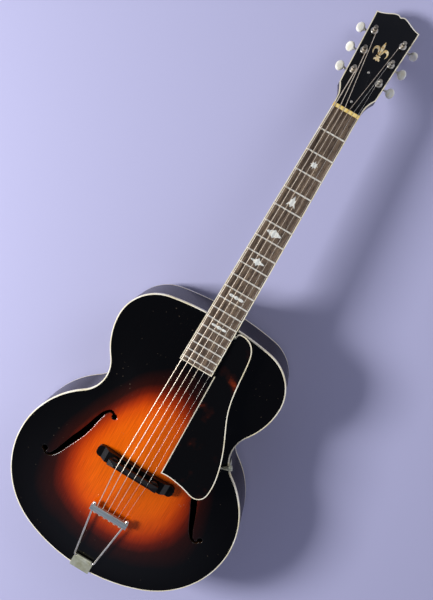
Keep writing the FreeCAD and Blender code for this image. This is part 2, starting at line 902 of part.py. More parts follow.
def head_runs():
    """Headstock face, anticlockwise, run on past the nut so that its edge binding stays open there."""
    half_nut = mm.nut_width / 2
    half_ear = mm.head_ear_width / 2
    half_top = mm.head_top_width / 2
    crest = mm.head_length - mm.head_corner_place
    ear = [(half_nut + (half_ear - half_nut) * x, mm.head_ear_place * y, 0) for x, y in EAR_SHARES]
    peak = [(half_top * x, mm.head_corner_place + crest * y, 0) for x, y in CREST_SHARES]
    crown = peak + [(-x, y, z) for x, y, z in reversed(peak[:-1])]
    left_ear = [(-x, y, z) for x, y, z in reversed(ear)]
    apron = -mm.head_overlap
    return [
        [Vector(-half_nut, apron, 0), Vector(half_nut, apron, 0)],
        [Vector(half_nut, apron, 0), Vector(*ear[0])],
        sampled(curve(ear), CURVE_SAMPLES),
        [Vector(*ear[-1]), Vector(*crown[0])],
        sampled(curve(crown), 2 * CURVE_SAMPLES),
        [Vector(*crown[-1]), Vector(*left_ear[0])],
        sampled(curve(left_ear), CURVE_SAMPLES),
        [Vector(*left_ear[-1]), Vector(-half_nut, apron, 0)],
    ]


def head_outline():
    return run_wire(head_runs())


head_back = -mm.veneer_thickness - mm.head_thickness
board_end = fret_distance(FRETS) + mm.board_overhang
shaft = Part.makeLoft(
    [
        neck_section(mm.nut_thickness, mm.nut_width / 2, mm.neck_depth_at_nut),
        neck_section(-joint_distance, board_half(joint_distance), mm.neck_depth_at_body),
    ],
    True, True,
)
extension_low = -mm.board_thickness - mm.neck_extension
extension_top = -mm.board_thickness
extension = Part.makeLoft(
    [
        flat_section(
            mm.heel_sink - joint_distance, board_half(joint_distance), extension_low, extension_top
        ),
        flat_section(-board_end, board_half(board_end), extension_low, extension_top),
    ],
    True, True,
)
for shape in (shaft, extension):
    shape.Placement = NECK
trunk = prism(outline(0), -2 * mm.rim_depth, mm.seat_gap)
trunk_room = trunk.copy()
trunk_room.Placement = BODY
shaft = shaft.cut(trunk_room)
head_slab = prism(head_outline(), head_back, -mm.veneer_thickness)
head_slab.Placement = HEAD
board_seat = Part.makeBox(
    2 * mm.nut_width, board_end, mm.head_thickness,
    Vector(-mm.nut_width, mm.nut_thickness - board_end, -mm.board_thickness),
)
board_seat.Placement = NECK
head_slab = head_slab.cut(board_seat)
heel_top = mm.board_rise - mm.board_thickness - mm.neck_extension
heel_bottom = mm.heel_cap_thickness - mm.rim_depth
heel = Part.makeLoft(
    [
        heel_section(heel_top + (heel_bottom - heel_top) * share, *heel_size(share))
        for share in HEEL_LEVEL_SHARES
    ],
    True, False,
)
tenon_low = mm.tenon_foot - mm.rim_depth
fit = mm.seat_gap
tenon_plan = [
    (tenon_half - fit, body_length + mm.heel_sink), (tenon_half - fit, mortise_y),
    (mortise_half - fit, notch_y + fit), (fit - mortise_half, notch_y + fit),
    (fit - tenon_half, mortise_y), (fit - tenon_half, body_length + mm.heel_sink),
]
tenon = prism(wire(polygon(tenon_plan)), tenon_low, heel_top + fit)
heel = heel.cut(trunk).fuse(tenon)
heel.Placement = BODY

rod_length = joint_distance - mm.truss_rod_end_inset
rod_z = -mm.board_thickness - mm.truss_rod_sink
nut_start = mm.nut_thickness + mm.truss_pocket_place + mm.seat_gap
channel_half = mm.truss_rod_radius + mm.seat_gap
channel = Part.makeBox(
    2 * channel_half, rod_length + mm.truss_rod_radius, mm.truss_rod_sink + channel_half,
    Vector(-channel_half, -rod_length, rod_z - channel_half),
)
pocket_half = mm.truss_pocket_width / 2
pocket = Part.makeBox(
    mm.truss_pocket_width, mm.truss_pocket_length, 3 * mm.truss_rod_sink,
    Vector(-pocket_half, mm.nut_thickness + mm.truss_pocket_place, rod_z - pocket_half),
)
bridge_way = Part.makeCylinder(
    channel_half, 2 * mm.truss_pocket_place, Vector(0, -mm.truss_rod_radius, rod_z), Y_AXIS
)
for shape in (channel, pocket, bridge_way):
    shape.Placement = NECK


def post_place(string):
    """Side, across and along places of a tuner post on the headstock, string 1 to 6."""
    side = 1 if string <= STRINGS / 2 else -1
    rank = string - 1 if side > 0 else STRINGS - string
    reach = (mm.post_last_side - mm.post_first_side) / (STRINGS / 2 - 1)
    return side, side * (mm.post_first_side + rank * reach), mm.post_first_place + rank * mm.post_spacing


cover_screws = [
    mm.cover_place + mm.cover_screw_inset,
    mm.cover_place + mm.cover_length - mm.cover_screw_inset,
]
STRING_NUMBERS = range(1, STRINGS + 1)
bores = []
screw_bores = []
bushing_bores = []
for string in STRING_NUMBERS:
    side, x, y = post_place(string)
    wide = mm.post_radius + 2 * mm.running_gap
    bores.append(Part.makeCylinder(wide, 2 * mm.head_thickness, Vector(x, y, head_back), Z_AXIS))
    bushing_bores.append(
        Part.makeCylinder(mm.bushing_radius, mm.bushing_depth, Vector(x, y, -mm.bushing_depth))
    )
    for along in (-mm.tuner_plate_screw_foot, mm.tuner_plate_screw_head):
        entry = Vector(x, y + along, head_back)
        screw_bores.append(Part.makeCylinder(mm.screw_radius, mm.screw_length, entry))
for y in cover_screws:
    low = mm.cover_thickness - mm.cover_screw_length
    screw_bores.append(Part.makeCylinder(mm.screw_radius, mm.cover_screw_length, Vector(0, y, low)))
head_cutter = Part.makeCompound(bores + screw_bores)
bushing_cutter = Part.makeCompound(bushing_bores)
for shape in (head_cutter, bushing_cutter):
    shape.Placement = HEAD
neck_shape = shaft.fuse([extension, head_slab, heel])
for shape in (channel, pocket, bridge_way, head_cutter, bushing_cutter):
    neck_shape = neck_shape.cut(shape)
piece("neck", solid("neck", neck_shape))

cap_curve = heel_section(0, *heel_size(1.0))
cap_shape = prism(cap_curve, -mm.rim_depth, heel_bottom).cut(trunk)
piece("heel_cap", solid("heel_cap", cap_shape, BODY))

JOINT_SHARE = 1 - 2 ** (-JOINT_FRET / 12)
ROD_LENGTH = (
    f"Sizes.scale_length * {JOINT_SHARE} - Sizes.truss_rod_end_inset"
    " + Sizes.nut_thickness + Sizes.truss_pocket_place + Sizes.truss_nut_length"
)
rod_place = NECK * shift(0, -rod_length, rod_z, ALONG_Y)
piece("truss_rod", cylinder("truss_rod", "Sizes.truss_rod_radius", ROD_LENGTH, rod_place))


def hexagon(radius):
    return [(radius * math.cos(k * math.pi / 3), radius * math.sin(k * math.pi / 3)) for k in range(6)]


nut_hex = polygon(hexagon(mm.truss_nut_radius)) + [Part.Circle(Vector(), Z_AXIS, mm.truss_rod_radius)]
nut_place = NECK * shift(0, nut_start, rod_z, ALONG_Y)
piece("truss_rod_nut", pad("truss_rod_nut", nut_hex, "Sizes.truss_nut_length", nut_place))


# Fingerboard, binding, frets, markers and nut

board_low = NECK * shift(0, 0, -mm.board_thickness)
rim = mm.board_binding_width
end_half = board_half(board_end)
nut_half = mm.nut_width / 2
far = rim - board_end
inner_plan = [
    (-nut_half + rim, 0), (nut_half - rim, 0), (board_half(-far) - rim, far), (rim - board_half(-far), far),
]
edge_plan = [
    (nut_half - rim, 0), (nut_half, 0), (end_half, -board_end), (-end_half, -board_end),
    (-nut_half, 0), (rim - nut_half, 0), (rim - board_half(-far), far), (board_half(-far) - rim, far),
]


def fret_shape(number, with_crown):
    """One fret, or only its tang as the cutter of its slot."""
    y = -fret_distance(number)
    half = board_half(-y)
    tang_half = half - rim
    corner = Vector(-tang_half, y - mm.tang_width / 2, -mm.tang_depth)
    shape = Part.makeBox(2 * tang_half, mm.tang_width, mm.tang_depth, corner)
    if not with_crown:
        return shape
    half -= mm.fret_end_inset
    left, top, right = [
        Vector(-half, y + across, rise)
        for across, rise in ((-mm.fret_width / 2, 0), (0, mm.fret_height), (mm.fret_width / 2, 0))
    ]
    bead = wire([Part.Arc(left, top, right), Part.LineSegment(right, left)])
    return Part.Face(bead).extrude(Vector(2 * half, 0, 0)).fuse(shape)


STAR_SHARES = [(-1, 0), (-0.3, 0.3), (0, 1), (0.3, 0.3), (1, 0), (0.3, -0.3), (0, -1), (-0.3, -0.3)]
ARROW_SHARES = [
    (-1, -0.75), (-0.45, -0.1), (0, 1), (0.45, -0.1), (1, -0.75), (0.35, -0.55), (0, -1), (-0.35, -0.55),
]
WING_SHARES = [
    (-1, 0.05), (-0.6, 0.55), (-0.25, 0.5), (0, 1), (0.25, 0.5), (0.6, 0.55),
    (1, 0.05), (0.6, -0.35), (0.25, -0.55), (0, -1), (-0.25, -0.55), (-0.6, -0.35),
]
DART_SHARES = [(-1, 0.1), (-0.35, 0.5), (0, 1), (0.35, 0.5), (1, 0.1), (0.35, -0.4), (0, -1), (-0.35, -0.4)]
star = (STAR_SHARES, mm.star_width, mm.star_length)
arrow = (ARROW_SHARES, mm.arrow_width, mm.arrow_length)
wing = (WING_SHARES, mm.wing_width, mm.wing_length)
dart = (DART_SHARES, mm.dart_width, mm.dart_length)
MARKERS = {3: star, 5: arrow, 7: wing, 9: wing, 12: dart, 15: dart}


def marker_shape(number):
    shares, width, length = MARKERS[number]
    y = -(fret_distance(number) + fret_distance(number - 1)) / 2
    plan = [(x * width / 2, y + along * length / 2) for x, along in shares]
    return prism(wire(polygon(plan)), -mm.inlay_depth, 0)


FRET_NUMBERS = range(1, FRETS + 1)
guard_pin_y = body_length - mm.pin_inset
guard_pin_z = mm.guard_rise + mm.pin_inset * math.tan(math.radians(mm.guard_tilt)) + mm.guard_thickness / 2
pin_start = board_half((nut_y - guard_pin_y) / math.cos(pitch)) - mm.pin_hold
guard_pin_place = BODY * shift(pin_start, guard_pin_y, guard_pin_z, ALONG_X)
guard_pin_tool = cylinder(
    "guard_pin_bore", "Sizes.pin_radius", "Sizes.guard_side + Sizes.pin_hold", guard_pin_place
)
slots = solid("fret_slots", Part.makeCompound([fret_shape(k, False) for k in FRET_NUMBERS]), NECK)
beds = solid("marker_beds", Part.makeCompound([marker_shape(k) for k in MARKERS]), NECK)
board_blank = pad("fingerboard_blank", polygon(inner_plan), "Sizes.board_thickness", board_low)
piece("fingerboard", cut("fingerboard", board_blank, slots, beds, guard_pin_tool))
edge_blank = pad("board_edge_blank", polygon(edge_plan), "Sizes.board_thickness", board_low)
piece("fingerboard_binding", cut("fingerboard_binding", edge_blank, guard_pin_tool))
piece("frets", solid("frets", Part.makeCompound([fret_shape(k, True) for k in FRET_NUMBERS]), NECK))
piece("fret_markers", solid("fret_markers", Part.makeCompound([marker_shape(k) for k in MARKERS]), NECK))


# String routes from the crossbar over the saddle and the nut to the posts

diameters = [float(sheet.get(alias)) for alias in STRING_DIAMETERS]
saddle_run = mm.scale_length + mm.bridge_setback


def string_side(string, spacing):
    return ((STRINGS + 1) / 2 - string) * spacing


def winding_start(string):
    """Where the string meets its post, in the headstock frame, and the way it runs there."""
    side, x, y = post_place(string)
    coil = mm.post_waist_radius + diameters[string - 1] / 2
    from_nut = Vector(string_side(string, mm.nut_string_spacing) - x, -y, 0)
    lean = math.acos(coil / from_nut.Length)
    angle = math.atan2(from_nut.y, from_nut.x) + side * -lean
    touch = Vector(x + coil * math.cos(angle), y + coil * math.sin(angle), mm.winding_top)
    return touch, angle, coil


def string_points(string):
    """Corner points of one string in the shared frame: post, nut, saddle and crossbar."""
    radius = diameters[string - 1] / 2
    touch = winding_start(string)[0]
    nut_side = string_side(string, mm.nut_string_spacing)
    saddle_side = string_side(string, mm.bridge_string_spacing)
    at_nut = NECK.multVec(Vector(nut_side, mm.nut_thickness, mm.nut_string_height + radius))
    at_saddle = NECK.multVec(Vector(saddle_side, -saddle_run, mm.saddle_string_height + radius))
    tail_side = string_side(string, mm.tail_string_spacing)
    at_bar = BODY.multVec(Vector(tail_side, mm.crossbar_place, mm.crossbar_rise))
    at_post = HEAD.multVec(touch)
    at_post = at_post + (at_nut - at_post).normalize() * mm.string_end_gap
    return [at_post, at_nut, at_saddle, at_bar]


string_tools = []
saddle_tools = []
for string in STRING_NUMBERS:
    radius = diameters[string - 1] / 2
    post_end, at_nut, at_saddle, at_bar = string_points(string)
    path = bent_path([post_end, at_nut, at_saddle, at_bar], mm.string_bend_radius)
    main = tube(Part.Wire(path.Edges[:-1]), radius)
    piece(f"string_{string}", solid(f"string_{string}", main))
    span = mm.wheel_radius
    for corner, before, after, tools in (
        (at_nut, post_end, at_saddle, string_tools), (at_saddle, at_nut, at_bar, saddle_tools),
    ):
        near = corner + (before - corner).normalize() * span
        far_end = corner + (after - corner).normalize() * span
        groove = bent_path([near, corner, far_end], mm.string_bend_radius)
        tools.append(tube(groove, radius + mm.slot_gap))
nut_blank = box(
    "nut_blank", "Sizes.nut_width", "Sizes.nut_thickness", "Sizes.board_thickness + Sizes.nut_top",
    NECK * shift(-nut_half, 0, -mm.board_thickness),
)
piece("nut", cut("nut", nut_blank, solid("nut_grooves", Part.makeCompound(string_tools))))


# Headstock face, edge, ornament, cover and screws

ORNAMENT_PETAL_SHARES = [(0.0, 1.0), (0.13, 0.84), (0.2, 0.7), (0.14, 0.5), (0.07, 0.3)]
ORNAMENT_OUTER_SHARES = [
    (0.1, 0.3), (0.2, 0.5), (0.46, 0.68), (0.8, 0.66), (1.0, 0.5), (0.94, 0.34), (0.76, 0.26),
]
ORNAMENT_INNER_SHARES = [(0.1, 0.3), (0.3, 0.42), (0.54, 0.54), (0.74, 0.52), (0.84, 0.42), (0.76, 0.26)]
ORNAMENT_FOOT_SHARES = [
    (0.3, 0.27), (0.3, 0.2), (0.14, 0.18), (0.4, 0.12), (0.36, 0.02), (0.16, 0.06), (0.0, 0.0),
]


def ornament_shape():
    """Stylised lily of a middle petal, two curled petals and a banded foot."""
    half = mm.ornament_width / 2
    low = mm.ornament_place - mm.ornament_height / 2

    def at(x, y):
        return (x * half, low + y * mm.ornament_height, 0)

    def mirrored(points):
        return [(-x, y) for x, y in points]

    petal = ORNAMENT_PETAL_SHARES
    petal_left = mirrored(petal)
    shapes = [wire([
        curve([at(*p) for p in petal]),
        curve([at(*p) for p in petal_left]),
        Part.LineSegment(Vector(*at(*petal[-1])), Vector(*at(*petal_left[-1]))),
    ])]
    for points in (lambda shares: shares, mirrored):
        shapes.append(wire([
            curve([at(*p) for p in points(ORNAMENT_OUTER_SHARES)]),
            curve([at(*p) for p in points(ORNAMENT_INNER_SHARES)]),
        ]))
    foot = ORNAMENT_FOOT_SHARES + mirrored(reversed(ORNAMENT_FOOT_SHARES[:-1]))
    shapes.append(wire(polygon([at(*p)[:2] for p in foot])))
    return Part.makeCompound([prism(shape, -mm.inlay_depth, 0) for shape in shapes])


full_face = head_outline()
inner_face = run_wire(inset_runs(head_runs(), mm.head_binding_width))
apron = Part.makeBox(
    2 * mm.head_top_width, 2 * mm.head_overlap, 4 * mm.head_overlap,
    Vector(-mm.head_top_width, mm.nut_thickness - 2 * mm.head_overlap, -2 * mm.head_overlap),
)
apron.Placement = HEAD.inverse() * NECK
face_shape = prism(inner_face, -mm.veneer_thickness, 0).cut(apron)
ring_shape = prism(full_face, -mm.veneer_thickness, 0).cut(apron).cut(face_shape)
ornament = ornament_shape()
head_tools = Part.makeCompound(bushing_bores + screw_bores)
pocket_local = pocket.copy()
pocket_local.Placement = HEAD.inverse() * NECK
for tool in (ornament, head_tools, pocket_local):
    face_shape = face_shape.cut(tool)
piece("headstock_veneer", solid("headstock_veneer", face_shape, HEAD))
piece("headstock_binding", solid("headstock_binding", ring_shape, HEAD))
piece("headstock_inlay", solid("headstock_inlay", ornament, HEAD))

COVER_SIDE_SHARES = [
    (0.62, 0.0), (0.92, 0.06), (1.0, 0.2), (0.8, 0.42), (0.46, 0.64), (0.34, 0.84), (0.2, 0.97), (0.0, 1.0),
]


def cover_point(x, y):
    return (x * mm.cover_width / 2, mm.cover_place + y * mm.cover_length, 0)


cover_right = [cover_point(x, y) for x, y in COVER_SIDE_SHARES]
cover_left = [cover_point(-x, y) for x, y in COVER_SIDE_SHARES]
drawn = [
    curve(cover_right + list(reversed(cover_left[:-1]))),
    Part.LineSegment(Vector(*cover_left[0]), Vector(*cover_right[0])),
]
drawn += [Part.Circle(Vector(0, y, 0), Z_AXIS, mm.screw_radius) for y in cover_screws]
piece("truss_rod_cover", pad("truss_rod_cover", drawn, "Sizes.cover_thickness", HEAD))


def screw_shape(shank, length, head, rise):
    """Round-headed screw pointing down, seated at zero height."""
    body = Part.makeCylinder(shank, length, Vector(0, 0, -length))
    dome_radius = (head**2 + rise**2) / (2 * rise)
    ball = Part.makeSphere(dome_radius, Vector(0, 0, rise - dome_radius))
    return body.fuse(ball.common(Part.makeCylinder(head, rise)))


screws = []
plate_low = head_back - mm.tuner_plate_thickness
back_down = Rotation(X_AXIS, 180)
for y in cover_screws:
    screws.append((0, y, mm.cover_thickness, Rotation(), mm.cover_screw_length))
for string in STRING_NUMBERS:
    side, x, y = post_place(string)
    for along in (-mm.tuner_plate_screw_foot, mm.tuner_plate_screw_head):
        screws.append((x, y + along, plate_low, back_down, mm.screw_length))
shapes = []
for x, y, z, turn, length in screws:
    shape = screw_shape(mm.screw_radius, length, mm.screw_head_radius, mm.screw_head_height)
    shape.Placement = shift(x, y, z, turn)
    shapes.append(shape)
piece("headstock_screws", solid("headstock_screws", Part.makeCompound(shapes), HEAD))


# Tuners, in a frame at the post on the back of the headstock; bass ones are mirrored

worm_pitch = 2 * math.pi * mm.gear_radius / GEAR_TEETH
worm_y = mm.gear_radius + mm.worm_radius
worm_length = mm.worm_turn_count * worm_pitch
shaft_end = mm.button_place - mm.button_length / 2 + mm.button_bore_depth
TOOTH_TIP_SHARE = 0.2
TOOTH_PITCH_SHARE = 0.34
TOOTH_ROOT_SHARE = 0.46


def gear_shape():
    """Straight-toothed wheel with a gap facing the worm."""
    rows = [
        (mm.gear_radius - mm.gear_dedendum, TOOTH_ROOT_SHARE),
        (mm.gear_radius, TOOTH_PITCH_SHARE),
        (mm.gear_radius + mm.gear_addendum, TOOTH_TIP_SHARE),
    ]
    points = []
    step = 2 * math.pi / GEAR_TEETH
    for tooth in range(GEAR_TEETH):
        middle = math.pi / 2 + (tooth + 0.5) * step
        for sign, order in ((-1, rows), (1, rows[::-1])):
            for radius, share in order:
                angle = middle + sign * share * step / 2
                points.append((radius * math.cos(angle), radius * math.sin(angle)))
    half = mm.gear_thickness / 2
    blank = prism(wire(polygon(points)), -mm.gear_drop - half, half - mm.gear_drop)
    return blank.cut(Part.makeCylinder(mm.post_radius, 4 * mm.gear_drop, Vector(0, 0, -2 * mm.gear_drop)))


def worm_shape():
    """Worm on its shaft along X, one thread facing the gear at mid length."""
    helix = Part.makeHelix(worm_pitch, worm_length, mm.worm_radius)
    inner = mm.worm_core_radius - mm.running_gap
    outer = mm.worm_radius + mm.gear_addendum
    foot = TOOTH_ROOT_SHARE * worm_pitch / 2
    crest = TOOTH_TIP_SHARE * worm_pitch / 2
    corners = [
        Vector(inner, 0, -foot), Vector(outer, 0, -crest), Vector(outer, 0, crest), Vector(inner, 0, foot),
    ]
    thread = Part.Wire(helix).makePipeShell([Part.makePolygon(corners + corners[:1])], True, True)
    core_half = mm.lug_place - mm.seat_gap
    core = Part.makeCylinder(mm.worm_core_radius, 2 * core_half, Vector(0, 0, worm_length / 2 - core_half))
    worm = core.fuse(thread)
    worm.Placement = shift(-worm_length / 2, worm_y, -mm.gear_drop, Rotation(X_AXIS, -90) * ALONG_X)
    reach = mm.lug_place + mm.lug_thickness + mm.worm_shaft_radius
    axle_start = Vector(-reach, worm_y, -mm.gear_drop)
    axle = Part.makeCylinder(mm.worm_shaft_radius, reach + shaft_end, axle_start, X_AXIS)
    return worm.fuse(axle)


def button_shape(turn):
    """Oval button on the end of the worm shaft."""
    long_way = Vector(0, mm.button_width / 2, 0)
    oval = Part.Ellipse(long_way, Vector(mm.button_length / 2, 0, 0), Vector())
    blank = prism(Part.Wire(oval.toShape()), -mm.button_thickness / 2, mm.button_thickness / 2)
    blank = blank.makeFillet(mm.button_round, [e for e in blank.Edges if len(e.Vertexes) == 1])
    mouth = Vector(-mm.button_length / 2, 0, 0)
    bore = Part.makeCylinder(mm.worm_shaft_radius, mm.button_bore_depth, mouth, X_AXIS)
    blank = blank.cut(bore)
    place = shift(mm.button_place, worm_y, -mm.gear_drop, Rotation(X_AXIS, turn))
    return blank.transformed(place.toMatrix(), True)


def post_shape():
    top = -head_back + mm.post_height
    low = -mm.gear_drop - mm.gear_thickness / 2 - mm.screw_head_height
    face = -head_back
    waist_low = face + mm.bushing_flange + mm.running_gap
    waist_high = face + mm.winding_top + mm.string_six_diameter
    steps = [
        (0, low), (mm.post_radius, low), (mm.post_radius, waist_low), (mm.post_waist_radius, waist_low),
        (mm.post_waist_radius, waist_high),
        (mm.post_radius, waist_high + mm.post_radius - mm.post_waist_radius),
        (mm.post_radius, top - mm.running_gap), (mm.post_radius - mm.running_gap, top), (0, top),
    ]
    return steps


def plate_shape():
    """Back plate with two lugs that carry the worm shaft."""
    half = mm.tuner_plate_width / 2
    plate = Part.makeBox(
        mm.tuner_plate_width, mm.tuner_plate_foot + mm.tuner_plate_head, mm.tuner_plate_thickness,
        Vector(-half, -mm.tuner_plate_foot, -mm.tuner_plate_thickness),
    )
    corners = [e for e in plate.Edges if len(e.Vertexes) == 2 and e.Vertexes[0].Z != e.Vertexes[1].Z]
    plate = plate.makeFillet(mm.screw_head_radius, corners)
    for place in (-mm.lug_place - mm.lug_thickness, mm.lug_place):
        corner = Vector(place, worm_y - mm.lug_width / 2, -mm.lug_depth)
        lug = Part.makeBox(mm.lug_thickness, mm.lug_width, mm.lug_depth, corner)
        plate = plate.fuse(lug)
    axle_way = Vector(-mm.tuner_plate_width, worm_y, -mm.gear_drop)
    through = 4 * mm.tuner_plate_thickness
    below = -2 * mm.tuner_plate_thickness
    ways = [
        Part.makeCylinder(
            mm.worm_shaft_radius + mm.running_gap, 2 * mm.tuner_plate_width, axle_way, X_AXIS
        ),
        Part.makeCylinder(mm.post_radius + mm.running_gap, through, Vector(0, 0, below)),
    ]
    for along in (-mm.tuner_plate_screw_foot, mm.tuner_plate_screw_head):
        ways.append(Part.makeCylinder(mm.screw_radius, through, Vector(0, along, below)))
    return plate.cut(Part.makeCompound(ways))


QUARTER = math.pi / 2
GAP_SAMPLES = 12


def winding_path(string):
    """Turns of the string end round its post, in the headstock frame, with the least gap between turns."""
    side, x, y = post_place(string)
    touch, angle, coil = winding_start(string)
    rise = (diameters[string - 1] + mm.winding_gap) / 4
    quarters = int(mm.winding_fall / rise)

    def at(step):
        turn = angle - side * QUARTER * step
        return Vector(x + coil * math.cos(turn), y + coil * math.sin(turn), touch.z - rise * step)

    def way(step):
        turn = angle - side * QUARTER * step
        across = side * coil * QUARTER
        return Vector(across * math.sin(turn), -across * math.cos(turn), -rise).normalize()

    arcs = []
    for step in range(quarters):
        arcs += biarc(at(step), way(step), at(step + 1), way(step + 1))
    samples = [at(k / GAP_SAMPLES) for k in range(quarters * GAP_SAMPLES + 1)]
    apart = 2 * GAP_SAMPLES
    least = min(
        (a.distanceToPoint(b) for k, a in enumerate(samples) for b in samples[k + apart:]),
        default=mm.winding_fall,
    )
    gap = least - diameters[string - 1]
    print(f"string {string} winding: {quarters / 4} turns, least gap {gap:.2f} mm")
    return Part.Wire([arc.toShape() for arc in arcs])


bushings = []
plates = []
for string in STRING_NUMBERS:
    side, x, y = post_place(string)
    frame = HEAD * shift(x, y, head_back)
    hole = mm.post_radius + mm.running_gap
    ferrule = [
        (hole, -mm.bushing_depth), (mm.bushing_radius, -mm.bushing_depth), (mm.bushing_radius, 0),
        (mm.bushing_flange_radius, 0),
        (mm.bushing_flange_radius - mm.bushing_flange / 2, mm.bushing_flange),
        (hole, mm.bushing_flange),
    ]
    bushings.append(turned("bushing", ferrule, HEAD * shift(x, y, 0)))
    shapes = [worm_shape(), button_shape(BUTTON_TURNS[string - 1]), plate_shape()]
    if side < 0:
        shapes = [shape.mirror(Vector(), X_AXIS) for shape in shapes]
    names = [f"tuner_{string}_{name}" for name in ("worm", "button", "plate")]
    parts = [solid(name, shape) for name, shape in zip(names, shapes)]
    for part in parts:
        part.Placement = frame * part.Placement
    plates.append(parts[2])
    piece(f"tuner_key_{string}", group(f"tuner_key_{string}", parts[:2]))
    post = turned("tuner_shaft", post_shape(), frame)
    gear = solid("tuner_gear", gear_shape(), frame)
    coil = solid("string_winding", tube(winding_path(string), diameters[string - 1] / 2), HEAD)
    piece(f"tuner_post_{string}", group(f"tuner_post_{string}", [post, gear, coil]))
piece("tuner_bushings", group("tuner_bushings", bushings))
piece("tuner_plates", group("tuner_plates", plates))


# Bridge: base carved to the top, studs, thumbwheels and saddle

crown = BODY.inverse().multVec(NECK.multVec(Vector(0, -saddle_run, mm.saddle_string_height)))
saddle_low = crown.z - mm.saddle_height
wheel_low = saddle_low - mm.wheel_thickness
deck_z = wheel_low - mm.wheel_lift
FOOT_FLAT_SHARE = 0.86
KNURLS = 36


base_half = mm.bridge_base_length / 2
deck_half = mm.bridge_deck_length / 2
end_rise = arch_height(mm.binding_width, mm.top_arch, base_half, crown.y)
foot_z = end_rise + mm.bridge_foot_height
flat_x = deck_half + (base_half - deck_half) * FOOT_FLAT_SHARE / 2
elevation = [
    (-base_half, end_rise / 2), (base_half, end_rise / 2), (base_half, foot_z), (flat_x, foot_z),
    (deck_half, deck_z), (-deck_half, deck_z), (-flat_x, foot_z), (-base_half, foot_z),
]


def rounded(width, depth, radius):
    """Rectangle about the origin with round corners."""
    x = width / 2 - radius
    y = depth / 2 - radius
    corners = [(x, y, 0), (-x, y, 1), (-x, -y, 2), (x, -y, 3)]
    arcs = [
        Part.ArcOfCircle(Part.Circle(Vector(a, b, 0), Z_AXIS, radius), k * QUARTER, (k + 1) * QUARTER)
        for a, b, k in corners
    ]
    return arcs + [
        Part.LineSegment(one.EndPoint, two.StartPoint) for one, two in zip(arcs, arcs[1:] + arcs[:1])
    ]


profile = pad(
    "bridge_profile", polygon(elevation), "Sizes.bridge_base_width",
    BODY * shift(0, crown.y + mm.bridge_base_width / 2, 0, AGAINST_Y),
)
plan = pad(
    "bridge_plan", rounded(mm.bridge_base_length, mm.bridge_base_width, mm.bridge_base_round),
    "4 * Sizes.top_arch", BODY * shift(0, crown.y, 0),
)
base_blank = boolean("Part::Common", "bridge_blank", profile, plan)
seat = solid("bridge_seat", top_outer, BODY * shift(0, 0, mm.seat_gap))
STUD_LENGTH = "Sizes.stud_sink + Sizes.wheel_lift + Sizes.wheel_thickness + Sizes.stud_reach"
studs = []
stud_ways = []
knurled = []
for k in range(2 * KNURLS):
    radius = mm.wheel_radius - (k % 2) * mm.wheel_knurl
    knurled.append((radius * math.cos(k * math.pi / KNURLS), radius * math.sin(k * math.pi / KNURLS)))
for side, name in ((-1, "thumbwheel_bass"), (1, "thumbwheel_treble")):
    x = side * mm.stud_spacing / 2
    stud_place = BODY * shift(x, crown.y, deck_z - mm.stud_sink)
    studs.append(cylinder("bridge_stud", "Sizes.stud_radius", STUD_LENGTH, stud_place))
    stud_ways.append(
        cylinder(
            "stud_way", "Sizes.stud_radius + Sizes.running_gap", "Sizes.stud_reach + Sizes.wheel_lift",
            BODY * shift(x, crown.y, saddle_low),
        )
    )
    drawn = polygon(knurled) + [Part.Circle(Vector(), Z_AXIS, mm.stud_radius + mm.running_gap)]
    piece(name, pad(name, drawn, "Sizes.wheel_thickness", BODY * shift(x, crown.y, wheel_low)))
base_carved = cut("bridge_carved", base_blank, seat)
piece("bridge_base", cut("bridge_base", base_carved, *studs))
piece("bridge_studs", group("bridge_studs", studs))

saddle_half = mm.saddle_length / 2
crest_half = mm.saddle_flat_length / 2
crest_z = mm.saddle_height + mm.saddle_notch
saddle_face = [
    (-saddle_half, 0), (saddle_half, 0), (saddle_half, mm.saddle_end_height), (crest_half, crest_z),
    (-crest_half, crest_z), (-saddle_half, mm.saddle_end_height),
]
foot_half = mm.saddle_foot_width / 2
ridge_half = mm.saddle_crown_width / 2
SADDLE_FOOT_SHARE = 0.45
saddle_section = [
    (-foot_half, 0), (foot_half, 0), (foot_half, SADDLE_FOOT_SHARE * crest_z), (ridge_half, crest_z),
    (-ridge_half, crest_z), (-foot_half, SADDLE_FOOT_SHARE * crest_z),
]
face = pad(
    "saddle_face", polygon(saddle_face), "Sizes.saddle_foot_width",
    BODY * shift(0, crown.y + foot_half, saddle_low, AGAINST_Y),
)
section = pad(
    "saddle_section", polygon(saddle_section), "Sizes.saddle_length",
    BODY * shift(-saddle_half, crown.y, saddle_low, ACROSS_X),
)
saddle_blank = boolean("Part::Common", "saddle_blank", face, section)
saddle_bored = cut("saddle_bored", saddle_blank, *stud_ways)
grooves = solid("saddle_grooves", Part.makeCompound(saddle_tools))
piece("bridge_saddle", cut("bridge_saddle", saddle_bored, grooves))


# Trapeze tailpiece on its tail bracket

